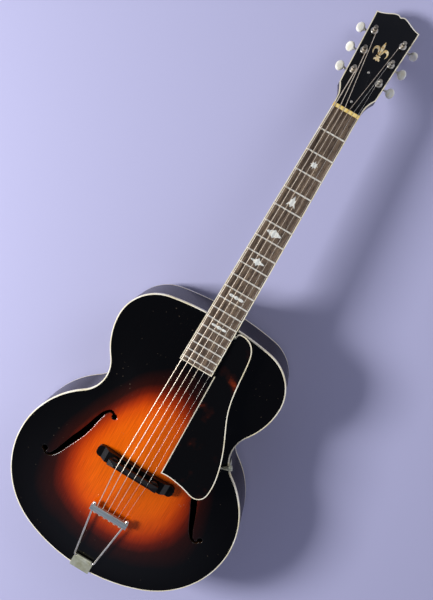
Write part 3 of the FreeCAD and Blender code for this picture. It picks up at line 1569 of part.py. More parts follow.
bar_tilt = math.atan2(mm.crossbar_rise - mm.knuckle_rise, mm.crossbar_place - mm.knuckle_place)
bracket_half = mm.bracket_width / 2
tail_plate = box(
    "tail_plate", "Sizes.bracket_width", "Sizes.bracket_thickness",
    "Sizes.bracket_drop + Sizes.bracket_lip_gap",
    BODY * shift(-bracket_half, -mm.bracket_thickness, -mm.bracket_drop),
)
tail_lip = box(
    "tail_lip", "Sizes.bracket_width", "Sizes.knuckle_place + Sizes.bracket_thickness",
    "Sizes.bracket_thickness",
    BODY * shift(-bracket_half, -mm.bracket_thickness, mm.bracket_lip_gap),
)
knuckle = cylinder(
    "knuckle", "Sizes.knuckle_radius", "Sizes.knuckle_length",
    BODY * shift(-mm.knuckle_length / 2, mm.knuckle_place, mm.knuckle_rise, ALONG_X),
)
knuckle_bore = cylinder(
    "knuckle_bore", "Sizes.frame_radius + Sizes.running_gap", "2 * Sizes.bracket_width",
    BODY * shift(-mm.bracket_width, mm.knuckle_place, mm.knuckle_rise, ALONG_X),
)
bent = boolean("Part::Fuse", "tail_angle", tail_plate, tail_lip)
hinged = boolean("Part::Fuse", "tail_hinge", bent, knuckle)
piece("tailpiece_bracket", cut("tailpiece_bracket", hinged, knuckle_bore, *tail_bores))

foot_x = mm.frame_foot_width / 2
head_x = mm.frame_head_width / 2
foot_point = Vector(foot_x, mm.knuckle_place, mm.knuckle_rise)
bar_point = Vector(head_x, mm.crossbar_place, mm.crossbar_rise)
leg = (bar_point - foot_point).normalize()
upright = math.hypot(leg.y, leg.z)
nut_seat = (mm.crossbar_depth / 2 + mm.frame_nut_radius * leg.x) / upright + mm.seat_gap
leg_end = bar_point + leg * (nut_seat + mm.frame_end)
mirror_end = Vector(-leg_end.x, leg_end.y, leg_end.z)
mirror_foot = Vector(-foot_x, foot_point.y, foot_point.z)
frame_path = bent_path([leg_end, foot_point, mirror_foot, mirror_end], mm.frame_bend_radius)
frame = piece("tailpiece_frame", solid("tailpiece_frame", tube(frame_path, mm.frame_radius), BODY))
bar_turn = Rotation(X_AXIS, math.degrees(bar_tilt)) * ACROSS_X
bar_blank = pad(
    "crossbar_blank", rounded(mm.crossbar_depth, mm.crossbar_height, mm.crossbar_round),
    "Sizes.crossbar_length",
    BODY * shift(-mm.crossbar_length / 2, mm.crossbar_place, mm.crossbar_rise, bar_turn),
)
tails = []
tail_ways = []
for string in STRING_NUMBERS:
    radius = diameters[string - 1] / 2
    post_end, at_nut, at_saddle, at_bar = string_points(string)
    path = bent_path([post_end, at_nut, at_saddle, at_bar], mm.string_bend_radius)
    start = path.Edges[-1].valueAt(path.Edges[-1].FirstParameter)
    way = (at_bar - at_saddle).normalize()
    ball_middle = at_bar + way * (mm.crossbar_depth / 2 + mm.ball_radius + mm.crossbar_string_gap)
    tail_run = Part.makeCylinder(radius, (ball_middle - start).Length, start, way)
    ball_start = ball_middle - X_AXIS * (mm.ball_length / 2)
    ball = Part.makeCylinder(mm.ball_radius, mm.ball_length, ball_start, X_AXIS)
    tails.append(tail_run.fuse(ball))
    way_start = at_bar - way * mm.crossbar_depth
    tail_ways.append(
        Part.makeCylinder(radius + mm.crossbar_string_gap, 2 * mm.crossbar_depth, way_start, way)
    )
bar_ways = solid("crossbar_ways", Part.makeCompound(tail_ways))
piece("tailpiece_crossbar", cut("tailpiece_crossbar", bar_blank, bar_ways, frame))
piece("string_tails", solid("string_tails", Part.makeCompound(tails)))

NUT_DOME_SHARES = [(1.0, 0.0), (1.0, 0.45), (0.8, 0.78), (0.45, 1.0)]
nuts = []
for side in (-1, 1):
    way = Vector(side * leg.x, leg.y, leg.z)
    seat_point = Vector(side * bar_point.x, bar_point.y, bar_point.z) + way * nut_seat
    steps = [(share * mm.frame_nut_radius, along * mm.frame_nut_length) for share, along in NUT_DOME_SHARES]
    hollow = [
        (0, mm.frame_nut_length), (0, mm.frame_end), (mm.frame_radius, mm.frame_end), (mm.frame_radius, 0),
    ]
    nuts.append(turned("frame_nut", steps + hollow, BODY * Placement(seat_point, Rotation(Z_AXIS, way))))
piece("tailpiece_nuts", group("tailpiece_nuts", nuts))

shapes = []
for x, z in bracket_screw_places:
    shape = screw_shape(
        mm.bracket_screw_radius, mm.bracket_screw_length,
        mm.bracket_screw_head_radius, mm.bracket_screw_head,
    )
    shape.Placement = shift(x, -mm.bracket_thickness, z, AGAINST_Y)
    shapes.append(shape)
piece("tailpiece_screws", solid("tailpiece_screws", Part.makeCompound(shapes), BODY))

PIN_HEAD_SHARES = [(0.62, 0.0), (0.95, 0.25), (1.0, 0.55), (0.75, 0.9), (0.0, 1.0)]
collar = mm.end_pin_collar
waist_end = collar + mm.end_pin_waist
pin_tip = -mm.end_pin_shank - mm.bracket_thickness
end_pin_profile = [
    (0, pin_tip), (mm.end_pin_radius, pin_tip), (mm.end_pin_radius, 0), (mm.end_pin_collar_radius, 0),
    (mm.end_pin_collar_radius, collar),
    (mm.end_pin_waist_radius, collar),
]
for share, along in PIN_HEAD_SHARES:
    end_pin_profile.append((share * mm.end_pin_head_radius, waist_end + along * mm.end_pin_head))
pin_place = BODY * shift(0, -mm.bracket_thickness, -mm.end_pin_drop, AGAINST_Y)
piece("end_pin", turned("end_pin", end_pin_profile, pin_place))


# Pickguard with bound edge, pin and side clamp

GUARD_LINE_SHARES = [(0.078, 0.033), (0.002, 0.981)]
GUARD_CURVE_SHARES = [
    (0.002, 0.981), (0.025, 0.996), (0.089, 1.0), (0.178, 0.996), (0.278, 0.979), (0.361, 0.944),
    (0.411, 0.885), (0.444, 0.785), (0.481, 0.674), (0.544, 0.574), (0.656, 0.478), (0.797, 0.374),
    (0.911, 0.267), (0.978, 0.170), (0.994, 0.085), (0.956, 0.031), (0.872, 0.006), (0.756, 0.001),
    (0.611, 0.015), (0.422, 0.029), (0.244, 0.037), (0.078, 0.033),
]
GUARD = BODY * shift(0, body_length, mm.guard_rise, Rotation(X_AXIS, -mm.guard_tilt))


guard_foot = crown.y + mm.guard_bridge_gap
guard_length = body_length - mm.guard_neck_gap - guard_foot


def guard_point(x, y):
    return (mm.guard_side + x * mm.guard_width, guard_foot - body_length + y * guard_length, 0)


guard_corners = [Vector(*guard_point(x, y)) for x, y in GUARD_LINE_SHARES]
guard_curve = curve([guard_point(x, y) for x, y in reversed(GUARD_CURVE_SHARES)])
guard_runs = [[guard_corners[1], guard_corners[0]], sampled(guard_curve, 4 * CURVE_SAMPLES)]
guard_shape = prism(run_wire(inset_runs(guard_runs, mm.guard_binding_width)), 0, mm.guard_thickness)
guard_ring = prism(run_wire(guard_runs), 0, mm.guard_thickness).cut(guard_shape)
piece("pickguard", cut("pickguard", solid("guard_blank", guard_shape, GUARD), guard_pin_tool))
piece("pickguard_binding", cut("pickguard_binding", solid("guard_ring", guard_ring, GUARD), guard_pin_tool))

low_corner, high_corner = guard_corners
edge_share = (guard_pin_y - body_length - low_corner.y) / (high_corner.y - low_corner.y)
guard_edge = low_corner.x + (high_corner.x - low_corner.x) * edge_share
collar_low = mm.pin_hold + mm.seat_gap
collar_high = guard_edge - pin_start - mm.seat_gap
pin_length = mm.guard_side + mm.pin_hold - pin_start
guard_pin_profile = [
    (0, 0), (mm.pin_radius, 0), (mm.pin_radius, collar_low), (mm.pin_collar_radius, collar_low),
    (mm.pin_collar_radius, collar_high), (mm.pin_radius, collar_high), (mm.pin_radius, pin_length),
    (0, pin_length),
]
guard_pin = turned("guard_pin", guard_pin_profile, guard_pin_place)

# clamp frame at the waist edge: local X points straight out of the body
waist_radius = treble_arcs(0)[WAIST_ARC][2]
clamp_turn = math.degrees(side_turn(mm.clamp_place))
CLAMP = BODY * shift(half_width(0, mm.clamp_place), mm.clamp_place, 0, Rotation(Z_AXIS, clamp_turn))
wall_gap = mm.clamp_wall_gap + mm.clamp_foot_width**2 / (8 * waist_radius)
foot_end = wall_gap + mm.clamp_foot_thickness
rod_top = BODY.inverse().multVec(CLAMP.multVec(Vector(-mm.clamp_reach, 0, 0)))
guard_under = mm.guard_rise + (body_length - rod_top.y) * math.tan(math.radians(mm.guard_tilt))
button_tilt = mm.clamp_cone_radius * math.tan(math.radians(mm.guard_tilt)) + mm.seat_gap
rod_path = bent_path(
    [
        Vector(foot_end + mm.clamp_knob, 0, mm.clamp_rise),
        Vector(-mm.clamp_reach, 0, mm.clamp_rise),
        Vector(-mm.clamp_reach, 0, guard_under - button_tilt),
    ],
    2 * mm.clamp_rod_radius,
)
rod_button = Part.makeCylinder(
    mm.clamp_cone_radius, mm.clamp_foot_thickness,
    Vector(-mm.clamp_reach, 0, guard_under - button_tilt - mm.clamp_foot_thickness),
)
rod_shape = tube(rod_path, mm.clamp_rod_radius).fuse(rod_button)
clamp_rod = solid("clamp_rod", rod_shape, CLAMP)
clamp_plate = box(
    "clamp_plate", "Sizes.clamp_foot_thickness", "Sizes.clamp_foot_width",
    "Sizes.clamp_foot_drop + 2 * Sizes.clamp_rise",
    CLAMP * shift(wall_gap, -mm.clamp_foot_width / 2, -mm.clamp_foot_drop),
)
clamp_way = cylinder(
    "clamp_way", "Sizes.clamp_rod_radius", "4 * Sizes.clamp_foot_thickness",
    CLAMP * shift(-mm.clamp_foot_thickness, 0, mm.clamp_rise, ALONG_X),
)
clamp_foot = cut("clamp_foot", clamp_plate, clamp_way)
piece("pickguard_bracket", group("pickguard_bracket", [clamp_rod, clamp_foot]))
hole = mm.clamp_rod_radius
cone_profile = [
    (hole, 0), (mm.clamp_tip_radius, 0), (mm.clamp_cone_radius, mm.clamp_cone_length),
    (hole, mm.clamp_cone_length),
]
knob_profile = [
    (hole, 0), (mm.clamp_knob_radius, 0), (mm.clamp_knob_radius, mm.clamp_knob), (hole, mm.clamp_knob),
]
cone_start = wall_gap - mm.clamp_cone_length
cone = turned("clamp_cone", cone_profile, CLAMP * shift(cone_start, 0, mm.clamp_rise, ALONG_X))
knob = turned("clamp_knob", knob_profile, CLAMP * shift(foot_end, 0, mm.clamp_rise, ALONG_X))
piece("pickguard_fasteners", group("pickguard_fasteners", [guard_pin, cone, knob]))


# Check every object, then write one file for each piece

doc.recompute()
for thing in doc.Objects:
    state = [word for word in thing.State if word in ("Invalid", "Error")]
    if state:
        raise RuntimeError(f"{thing.Label} is {state}")
os.makedirs("parts", exist_ok=True)
for label, thing in pieces.items():
    shape = thing.Shape
    if shape.isNull() or not shape.isValid() or not shape.Solids:
        raise RuntimeError(f"{label} has no sound solid")
    shape.exportStep(f"parts/{label}.step")
    low, high = shape.BoundBox.ZMin, shape.BoundBox.ZMax
    print(f"{label}: {len(shape.Solids)} solids, {shape.Volume / 1000:.2f} cm3, z {low:.1f} to {high:.1f}")
print(f"{len(pieces)} pieces")
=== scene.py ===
# %% [markdown]
# # An archtop guitar
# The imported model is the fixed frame: every piece of wood, plastic and metal is already in its place.
# This lesson dresses it. The large lacquered faces are carved again as smooth meshes, because gloss shows
# every facet. The strings are drawn as taut wires that follow the saddle, and every piece gets a finish
# made from nodes.

# %% Load the frame
import math

import bmesh
import bpy
from mathutils import Matrix, Vector


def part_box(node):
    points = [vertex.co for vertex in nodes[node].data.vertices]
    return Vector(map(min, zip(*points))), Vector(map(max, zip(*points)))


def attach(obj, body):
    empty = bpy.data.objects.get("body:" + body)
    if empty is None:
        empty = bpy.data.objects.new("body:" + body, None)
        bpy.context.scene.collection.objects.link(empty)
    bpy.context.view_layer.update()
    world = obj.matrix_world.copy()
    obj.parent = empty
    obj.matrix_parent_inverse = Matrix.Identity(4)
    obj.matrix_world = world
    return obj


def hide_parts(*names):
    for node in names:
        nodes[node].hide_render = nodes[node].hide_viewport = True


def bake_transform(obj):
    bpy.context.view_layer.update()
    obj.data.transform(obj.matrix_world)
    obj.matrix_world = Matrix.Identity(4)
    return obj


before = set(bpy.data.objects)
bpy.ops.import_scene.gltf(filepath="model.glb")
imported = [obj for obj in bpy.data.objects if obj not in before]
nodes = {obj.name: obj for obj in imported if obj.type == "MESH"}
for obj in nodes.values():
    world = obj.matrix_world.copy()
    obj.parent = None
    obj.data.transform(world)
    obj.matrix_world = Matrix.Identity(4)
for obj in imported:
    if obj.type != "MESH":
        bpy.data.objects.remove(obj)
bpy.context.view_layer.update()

scene = bpy.context.scene
MM = 0.001

# %% [markdown]
# ## Camera, floor and light
# The guitar lies on its back and is seen from above the neck. The camera was found by matching the body's
# outline and the frets, so the lens and the turn are written as found. A large soft lamp stands low on
# the bass side, and a weak one fills from the neck end. Both stay out of the mirror direction of the top,
# because black lacquer shows a lamp as a grey veil.

# %% Camera
CAMERA_LENS = 41.917
CAMERA_PLACE = (0.01325, 0.27783, 1.14913)
CAMERA_TURN = (-0.189246, 0.150057, 0.513287)
camera_data = bpy.data.cameras.new("photo_camera")
camera_data.lens = CAMERA_LENS
camera = bpy.data.objects.new("photo_camera", camera_data)
camera.location = CAMERA_PLACE
camera.rotation_euler = CAMERA_TURN
scene.collection.objects.link(camera)
scene.camera = camera
scene.view_settings.view_transform = "Standard"
print("camera lens", CAMERA_LENS, "mm")


# %% Colours and nodes
def linear(code):
    """One sRGB hex colour as linear red, green, blue and alpha."""
    values = [int(code[k:k + 2], 16) / 255 for k in (1, 3, 5)]
    return [v / 12.92 if v <= 0.04045 else ((v + 0.055) / 1.055) ** 2.4 for v in values] + [1.0]


def add(tree, kind, settings=None, sockets=None):
    """One node with its settings; a socket takes a value or the output that feeds it."""
    made = tree.nodes.new(kind)
    for name, value in (settings or {}).items():
        setattr(made, name, value)
    for name, value in (sockets or {}).items():
        if isinstance(value, bpy.types.NodeSocket):
            tree.links.new(value, made.inputs[name])
        else:
            made.inputs[name].default_value = value
    return made


def ramp(tree, feed, stops):
    """Colour ramp from a list of places and hex colours."""
    made = add(tree, "ShaderNodeValToRGB", None, {"Fac": feed})
    slots = made.color_ramp.elements
    while len(slots) < len(stops):
        slots.new(1.0)
    for slot, (place, code) in zip(slots, stops):
        slot.position = place
        slot.color = linear(code)
    return made.outputs["Color"]


print("white is", linear("#FFFFFF"))


# %% Floor and lamps
FLOOR_SIDE = 12.0
FLOOR_COLOUR = "#B9B8DB"
FLOOR_ROUGHNESS = 0.9
# name, place and aim in metres, side in metres, power in watts
LAMPS = [
    ("key", (-1.9, -0.75, 1.45), (0, -0.1, 0.1), 0.7, 72.0),
    ("fill", (1.1, 1.9, 1.5), (0, 0.1, 0.1), 1.4, 14.0),
]


def lamp(name, place, aim, size, power):
    """Square soft lamp that faces its aim."""
    data = bpy.data.lights.new(name, "AREA")
    data.size = size
    data.energy = power
    made = bpy.data.objects.new(name, data)
    made.location = place
    made.rotation_euler = (Vector(aim) - Vector(place)).to_track_quat("-Z", "Y").to_euler()
    scene.collection.objects.link(made)


bm = bmesh.new()
bmesh.ops.create_grid(bm, x_segments=1, y_segments=1, size=FLOOR_SIDE / 2)
floor_mesh = bpy.data.meshes.new("floor")
bm.to_mesh(floor_mesh)
bm.free()
floor = bpy.data.objects.new("floor", floor_mesh)
scene.collection.objects.link(floor)
# matt coloured paper: a plain pale ground that takes the soft shadow
paper = bpy.data.materials.new("pale_paper")
paper.use_nodes = True
paper_inputs = paper.node_tree.nodes["Principled BSDF"].inputs
paper_inputs["Base Color"].default_value = linear(FLOOR_COLOUR)
paper_inputs["Roughness"].default_value = FLOOR_ROUGHNESS
floor_mesh.materials.append(paper)
for settings in LAMPS:
    lamp(*settings)
print("floor", FLOOR_SIDE, "m,", len(LAMPS), "lamps")

# %% Surroundings
# tones from the horizon to straight above
SKY = [(0.0, "#E4E3EC"), (0.45, "#8C90A4"), (0.85, "#3C4250")]
world = bpy.data.worlds.new("studio")
scene.world = world
world.use_nodes = True
sky = world.node_tree
way = add(sky, "ShaderNodeTexCoord").outputs["Generated"]
height = add(sky, "ShaderNodeSeparateXYZ", None, {"Vector": way}).outputs["Z"]
sky.links.new(ramp(sky, height, SKY), sky.nodes["Background"].inputs["Color"])
sky.nodes["Background"].inputs["Strength"].default_value = 1.0
print("surroundings in", len(SKY), "tones")


# %% [markdown]
# ## Finishes
# Each finish starts from the real material and how its surface was made. All patterns read Object
# coordinates, which are metres in the shared frame, so a scale of 1000 is a pattern of about 1 mm.
# One helper makes the shader with its constants, and each finish then adds its own pattern.

# %% Finish helpers
EDGE_SOFTENING, BEVEL_SAMPLES = 0.0004, 4
PLAIN_SPECULAR = 0.5


def start_finish(name, roughness, metallic=0.0, specular=PLAIN_SPECULAR):
    """Material with its shader; edges are softened in the shading, as handling softens real ones."""
    made = bpy.data.materials.new(name)
    made.use_nodes = True
    tree = made.node_tree
    shader = tree.nodes["Principled BSDF"]
    shader.inputs["Roughness"].default_value = roughness
    shader.inputs["Metallic"].default_value = metallic
    shader.inputs["Specular IOR Level"].default_value = specular
    worn = add(tree, "ShaderNodeBevel", {"samples": BEVEL_SAMPLES}, {"Radius": EDGE_SOFTENING})
    tree.links.new(worn.outputs["Normal"], shader.inputs["Normal"])
    place = add(tree, "ShaderNodeTexCoord").outputs["Object"]
    return made, tree, shader, place


def stretched(tree, place, scale, detail=4.0, shift=(0, 0, 0)):
    """Noise drawn out along the axes with a small scale, as wood grain is."""
    drawn = add(tree, "ShaderNodeMapping", None, {"Vector": place, "Scale": scale, "Location": shift})
    return add(
        tree, "ShaderNodeTexNoise", None, {"Vector": drawn.outputs["Vector"], "Scale": 1.0, "Detail": detail}
    ).outputs["Fac"]


def mixed(tree, factor, under, over, blend="MIX"):
    """Two colours mixed; the factor is a number or an output."""
    settings = {"data_type": "RGBA", "blend_type": blend}
    return add(tree, "ShaderNodeMix", settings, {0: factor, 6: under, 7: over}).outputs[2]


def worked(tree, operation, *values):
    """Result of one sum in the nodes; each value is a number or an output."""
    return add(tree, "ShaderNodeMath", {"operation": operation}, dict(enumerate(values))).outputs["Value"]


def bumped(tree, shader, height, distance):
    """Small relief on top of the softened edges; the distance is its depth in metres."""
    under = shader.inputs["Normal"].links[0].from_socket
    made = add(tree, "ShaderNodeBump", None, {"Height": height, "Distance": distance, "Normal": under})
    tree.links.new(made.outputs["Normal"], shader.inputs["Normal"])


print("edges softened by", EDGE_SOFTENING / MM, "mm")

# %% [markdown]
# ## Sunburst spruce
# Carved spruce, sprayed amber in the middle and black at the edge, then lacquered and polished. The eye
# sees a glowing egg, wider towards the tail, with fine lines along the strings and a few specks of dust in
# the gloss. A colour ramp over the distance from the middle does what the spray gun did, and a little
# noise in that distance keeps the egg from looking drawn with a compass.

# %% Sunburst
BURST_MIDDLE = (0.0, -0.2775)
BURST_REACH = (0.103, 0.138)
BURST_TAPER = 0.32
BURST_CLOUDING = 0.06
BURST_STOPS = [
    (0.10, "#F26C04"), (0.35, "#EC6203"), (0.43, "#DA5002"), (0.485, "#AC3302"), (0.54, "#641702"),
    (0.595, "#2A0902"), (0.70, "#040303"),
]
GRAIN_STRETCH, GRAIN_STRENGTH, GRAIN_DEPTH = (1100, 26, 60), 0.5, 0.00002
DUST_SCALE, DUST_SPREAD, DUST_START, DUST_STRENGTH = 120.0, 0.42, -0.17, 0.2
DUST_COLOUR = "#9C8A72"


def egg_distance(tree, place):
    """Distance from the middle of the burst; 0.5 is its reach, because a ramp ends at 1."""
    shrink = [0.5 / reach for reach in BURST_REACH] + [0.0]
    moved = [-middle * share for middle, share in zip(BURST_MIDDLE, shrink)] + [0.0]
    oval = add(tree, "ShaderNodeMapping", None, {"Vector": place, "Scale": shrink, "Location": moved})
    run = add(tree, "ShaderNodeSeparateXYZ", None, {"Vector": oval.outputs["Vector"]}).outputs
    slim = worked(tree, "MULTIPLY_ADD", run["Y"], 2 * BURST_TAPER, 1.0)
    aside = worked(tree, "MULTIPLY", run["X"], slim)
    egg = add(tree, "ShaderNodeCombineXYZ", None, {"X": aside, "Y": run["Y"]}).outputs["Vector"]
    return add(tree, "ShaderNodeVectorMath", {"operation": "LENGTH"}, {0: egg}).outputs["Value"]


def dust_specks(tree, place):
    """Small factor that is above zero only on specks; they gather in patches."""
    dust = add(tree, "ShaderNodeTexVoronoi", {"feature": "F1"}, {"Vector": place, "Scale": DUST_SCALE})
    patch = stretched(tree, place, (26, 26, 26), detail=2.0, shift=(3, 1, 0))
    near = worked(tree, "MULTIPLY_ADD", patch, DUST_SPREAD, DUST_START)
    speck = worked(tree, "LESS_THAN", dust.outputs["Distance"], near)
    return worked(tree, "MULTIPLY", speck, DUST_STRENGTH)


def sunburst():
    """Amber in the middle, black at the edge, with grain and dust."""
    made, tree, shader, place = start_finish("spruce_sunburst_lacquer", 0.14)
    cloud = stretched(tree, place, (16, 9, 16), detail=2.0)
    uneven = worked(tree, "MULTIPLY_ADD", cloud, BURST_CLOUDING, egg_distance(tree, place))
    burst = ramp(tree, uneven, BURST_STOPS)
    grain = stretched(tree, place, GRAIN_STRETCH, detail=5.0)
    lines = ramp(tree, grain, [(0.34, "#B9B0AA"), (0.62, "#FFFFFF")])
    wood = mixed(tree, GRAIN_STRENGTH, burst, lines, "MULTIPLY")
    dusty = mixed(tree, dust_specks(tree, place), wood, linear(DUST_COLOUR))
    tree.links.new(dusty, shader.inputs["Base Color"])
    bumped(tree, shader, grain, GRAIN_DEPTH)
    return made


SUNBURST = sunburst()
print("finish:", SUNBURST.name)


# %% [markdown]
# ## Dark maple and mahogany
# Under the dark lacquer the curl of the maple only shows as soft stripes that cross the ribs. Years of
# handling have dulled this lacquer, so it mirrors the floor less than the top does. The same recipe
# with another stretch makes the straight grain of the neck.

# %% Maple
DULLED_SPECULAR, FIGURE_DEPTH = 0.22, 0.00002
BACK_MIDDLE, BACK_REACH, CURL_STRENGTH = -0.27, (0.19, 0.27), 0.8


def maple(name, figure, edge, middle):
    """Curly maple under dark lacquer; the figure runs across the axis with the large scale."""
    made, tree, shader, place = start_finish(name, 0.26, specular=DULLED_SPECULAR)
    curl = stretched(tree, place, figure, detail=3.0)
    wood = ramp(tree, curl, [(0.3, edge), (0.7, middle)])
    tree.links.new(wood, shader.inputs["Base Color"])
    bumped(tree, shader, stretched(tree, place, (700, 700, 90), detail=3.0), FIGURE_DEPTH)
    return made


# bent maple, lacquered dark: soft upright stripes in a nearly black wall
RIB_MAPLE = maple("curly_maple_rib_lacquer", (95, 95, 5), "#0B0605", "#1D0D09")
# carved mahogany, lacquered dark: straight grain along the neck
NECK_WOOD = maple("dark_mahogany_lacquer", (420, 18, 420), "#120806", "#241009")


def back_burst():
    """Two-piece maple back, red brown in the middle and black at the edge."""
    made, tree, shader, place = start_finish("maple_back_burst_lacquer", 0.15)
    wide, long = BACK_REACH
    shrink = add(
        tree, "ShaderNodeMapping", None,
        {"Vector": place, "Scale": (1 / wide, 1 / long, 0.0), "Location": (0.0, -BACK_MIDDLE / long, 0.0)},
    )
    far = add(tree, "ShaderNodeVectorMath", {"operation": "LENGTH"}, {0: shrink.outputs["Vector"]})
    burst = ramp(tree, far.outputs["Value"], [(0.1, "#5A220D"), (0.5, "#3A130A"), (0.95, "#0D0605")])
    curl = stretched(tree, place, (10, 130, 4), detail=3.0)
    stripes = ramp(tree, curl, [(0.35, "#8A7F78"), (0.65, "#FFFFFF")])
    tree.links.new(mixed(tree, CURL_STRENGTH, burst, stripes, "MULTIPLY"), shader.inputs["Base Color"])
    return made


# curly maple, sprayed from red brown to black and lacquered: bands that glow in the middle of the back
BACK_MAPLE = back_burst()
print("finishes:", RIB_MAPLE.name, NECK_WOOD.name, BACK_MAPLE.name)

# %% [markdown]
# ## Plastics, bone, shell and small woods
# These are all two close tones that drift into each other. What sets them apart is the size of the drift
# and the gloss: shell changes within a millimetre or two, celluloid over centimetres.

# %% Two-tone finishes
def clouded(name, low, high, scale, roughness, detail=3.0, specular=PLAIN_SPECULAR):
    """Material with two close tones that drift into each other."""
    made, tree, shader, place = start_finish(name, roughness, specular=specular)
    drift = stretched(tree, place, scale, detail)
    tree.links.new(ramp(tree, drift, [(0.35, low), (0.65, high)]), shader.inputs["Base Color"])
    return made


# scraped celluloid that has yellowed unevenly: a warm line round every edge
CREAM = clouded("aged_celluloid_binding", "#EFE2BC", "#FFF9E6", (40, 40, 40), 0.34)
# moulded celluloid with faint layers, worn smooth by fingers: the brightest spots of the head
IVORY = clouded("ivory_celluloid_button", "#F8F1DA", "#FFFFFA", (260, 90, 90), 0.3)
# sawn and polished bone, stained by string dust: a strong yellow bar
BONE = clouded("yellowed_bone", "#E8C05A", "#FBE6A2", (300, 120, 300), 0.36)
# sliced shell let in flush: white flakes that change from one to the next
PEARL = clouded("shell_pearl", "#ECEEE4", "#FFFFF8", (420, 300, 420), 0.2, detail=5.0)
# older shell under tinted lacquer: the same flakes, turned to gold
GOLD_PEARL = clouded("golden_shell_pearl", "#D9A94C", "#FFF3CC", (260, 200, 260), 0.2, detail=5.0)
# cut and buffed sheet: black with a soft sheen
BLACK_PLASTIC = clouded("black_celluloid", "#040404", "#090808", (60, 60, 60), 0.16)
# sprayed and rubbed lacquer over veneer: the deepest black of the guitar
BLACK_LACQUER = clouded("black_lacquer_face", "#030303", "#080707", (30, 30, 30), 0.12)
# hand-cut ebony, polished: black with brownish streaks and a satin light on its edges
EBONY = clouded("polished_ebony", "#050404", "#100C0A", (900, 60, 60), 0.24, specular=0.32)
# planed spruce and willow inside the box: pale bare wood, seen only through the sound holes
BARE_WOOD = clouded("bare_spruce", "#B98F5C", "#D9B683", (700, 20, 200), 0.7)
# the knife-cut walls of the sound holes, stained and sealed: dark, with light on the filed edge alone
STAINED_EDGE = clouded("stained_spruce_edge", "#160B06", "#35200F", (700, 60, 200), 0.3)


def tortoise():
    """Celluloid sheet, nearly black; a few clear red-brown clouds glow in it."""
    made, tree, shader, place = start_finish("tortoise_celluloid", 0.12)
    cloud = stretched(tree, place, (34, 34, 34), detail=3.0)
    tone = ramp(tree, cloud, [(0.54, "#070606"), (0.64, "#1C0A06"), (0.74, "#6A240C"), (0.85, "#A8521C")])
    tree.links.new(tone, shader.inputs["Base Color"])
    return made


# pressed and polished celluloid: black glass with a few warm clouds
TORTOISE = tortoise()
print("finishes:", len(bpy.data.materials))

# %% [markdown]
# ## Rosewood and metals
# Rosewood is told by its open pores, so they darken the colour and dent the surface. A metal is told by its
# gloss: the same noise drives the colour and the roughness, so a dull spot is also a darker one.

# %% Rosewood and metals
PORE_STRENGTH, PORE_DEPTH = 0.8, 0.00006


def rosewood():
    """Oiled rosewood: brown streaks and short dark pores that run along the neck."""
    made, tree, shader, place = start_finish("oiled_rosewood", 0.5)
    streak = stretched(tree, place, (260, 9, 260))
    tone = ramp(tree, streak, [(0.3, "#4A3B2F"), (0.55, "#776453"), (0.75, "#988268")])
    pores = stretched(tree, place, (1700, 60, 1700), detail=2.0)
    dark = ramp(tree, pores, [(0.36, "#5A4A42"), (0.5, "#FFFFFF")])
    tree.links.new(mixed(tree, PORE_STRENGTH, tone, dark, "MULTIPLY"), shader.inputs["Base Color"])
    bumped(tree, shader, pores, PORE_DEPTH)
    return made


def metal(name, bright, dull, low, high, scale):
    """Plated or drawn metal with handling marks in its gloss."""
    made, tree, shader, place = start_finish(name, 0.2, metallic=1.0)
    marks = stretched(tree, place, scale)
    tree.links.new(ramp(tree, marks, [(0.35, dull), (0.6, bright)]), shader.inputs["Base Color"])
    gloss = add(tree, "ShaderNodeMapRange", None, {"Value": marks, "To Min": high, "To Max": low})
    tree.links.new(gloss.outputs["Result"], shader.inputs["Roughness"])
    return made


# planed and oiled rosewood: dry brown streaks between the frets
ROSEWOOD = rosewood()
# plated brass, dulled by breath and fingers: soft lights in place of mirrors
NICKEL = metal("worn_nickel_plate", "#EEEAE2", "#CFC9BC", 0.24, 0.4, (70, 70, 70))
# posts whose plating the string ends have rubbed away: a duller grey than the ring they stand in
POST_METAL = metal("rubbed_nickel_post", "#A9A296", "#6E675D", 0.34, 0.5, (90, 90, 90))
# plated bar, brushed along its length: an even pale grey whose blue tint is a painted reflection of the sky
BRUSHED_NICKEL_SKY_TINTED = metal("brushed_nickel_bar_sky_tinted", "#C9D2D2", "#A6B0B2", 0.42, 0.56, (40, 900, 900))
# drawn fret wire, rubbed matt by the strings: a bright line across the board from every side
FRET_METAL = metal("nickel_silver_fret", "#FFFDF4", "#F3EEE0", 0.6, 0.7, (200, 200, 200))
# knurled brass wheels, coloured darker than the other plated parts: dark, with a glint on the rim
DARK_NICKEL = metal("dark_nickel_wheel", "#7C776E", "#4C4842", 0.3, 0.45, (120, 120, 120))
# thin plating with the brass showing through: a pale, slightly green yellow
WARM_NICKEL = metal("brassy_nickel_plate", "#EEEFDA", "#C9C8A8", 0.46, 0.6, (55, 55, 55))
# drawn spring steel: a fine cold line
PLAIN_STEEL = metal("drawn_steel_wire", "#E2DED4", "#BDB8AE", 0.42, 0.55, (300, 20, 300))
# nickel wire wrapped round steel; the real turns, 0.2 mm apart, are drawn coarser so that they show
WOUND_WIRE = metal("nickel_wrapped_wire", "#F1E6D6", "#C9B69C", 0.46, 0.6, (500, 900, 500))
# bare steel in the neck: plain grey
STEEL = metal("bare_steel_rod", "#9A9A98", "#74726E", 0.3, 0.45, (120, 30, 120))
print("finishes:", len(bpy.data.materials))

# %% [markdown]
# ## Body outline
# The outline is a chain of tangent arcs, so it is drawn as a maker draws it with a compass: one point is
# spun round each centre in turn. A point that starts further in gives the inset outline for free,
# because all arcs keep their centres. The arcs follow from the widths and from their places along the
# body, and the frame tells where the tail and the rim are.

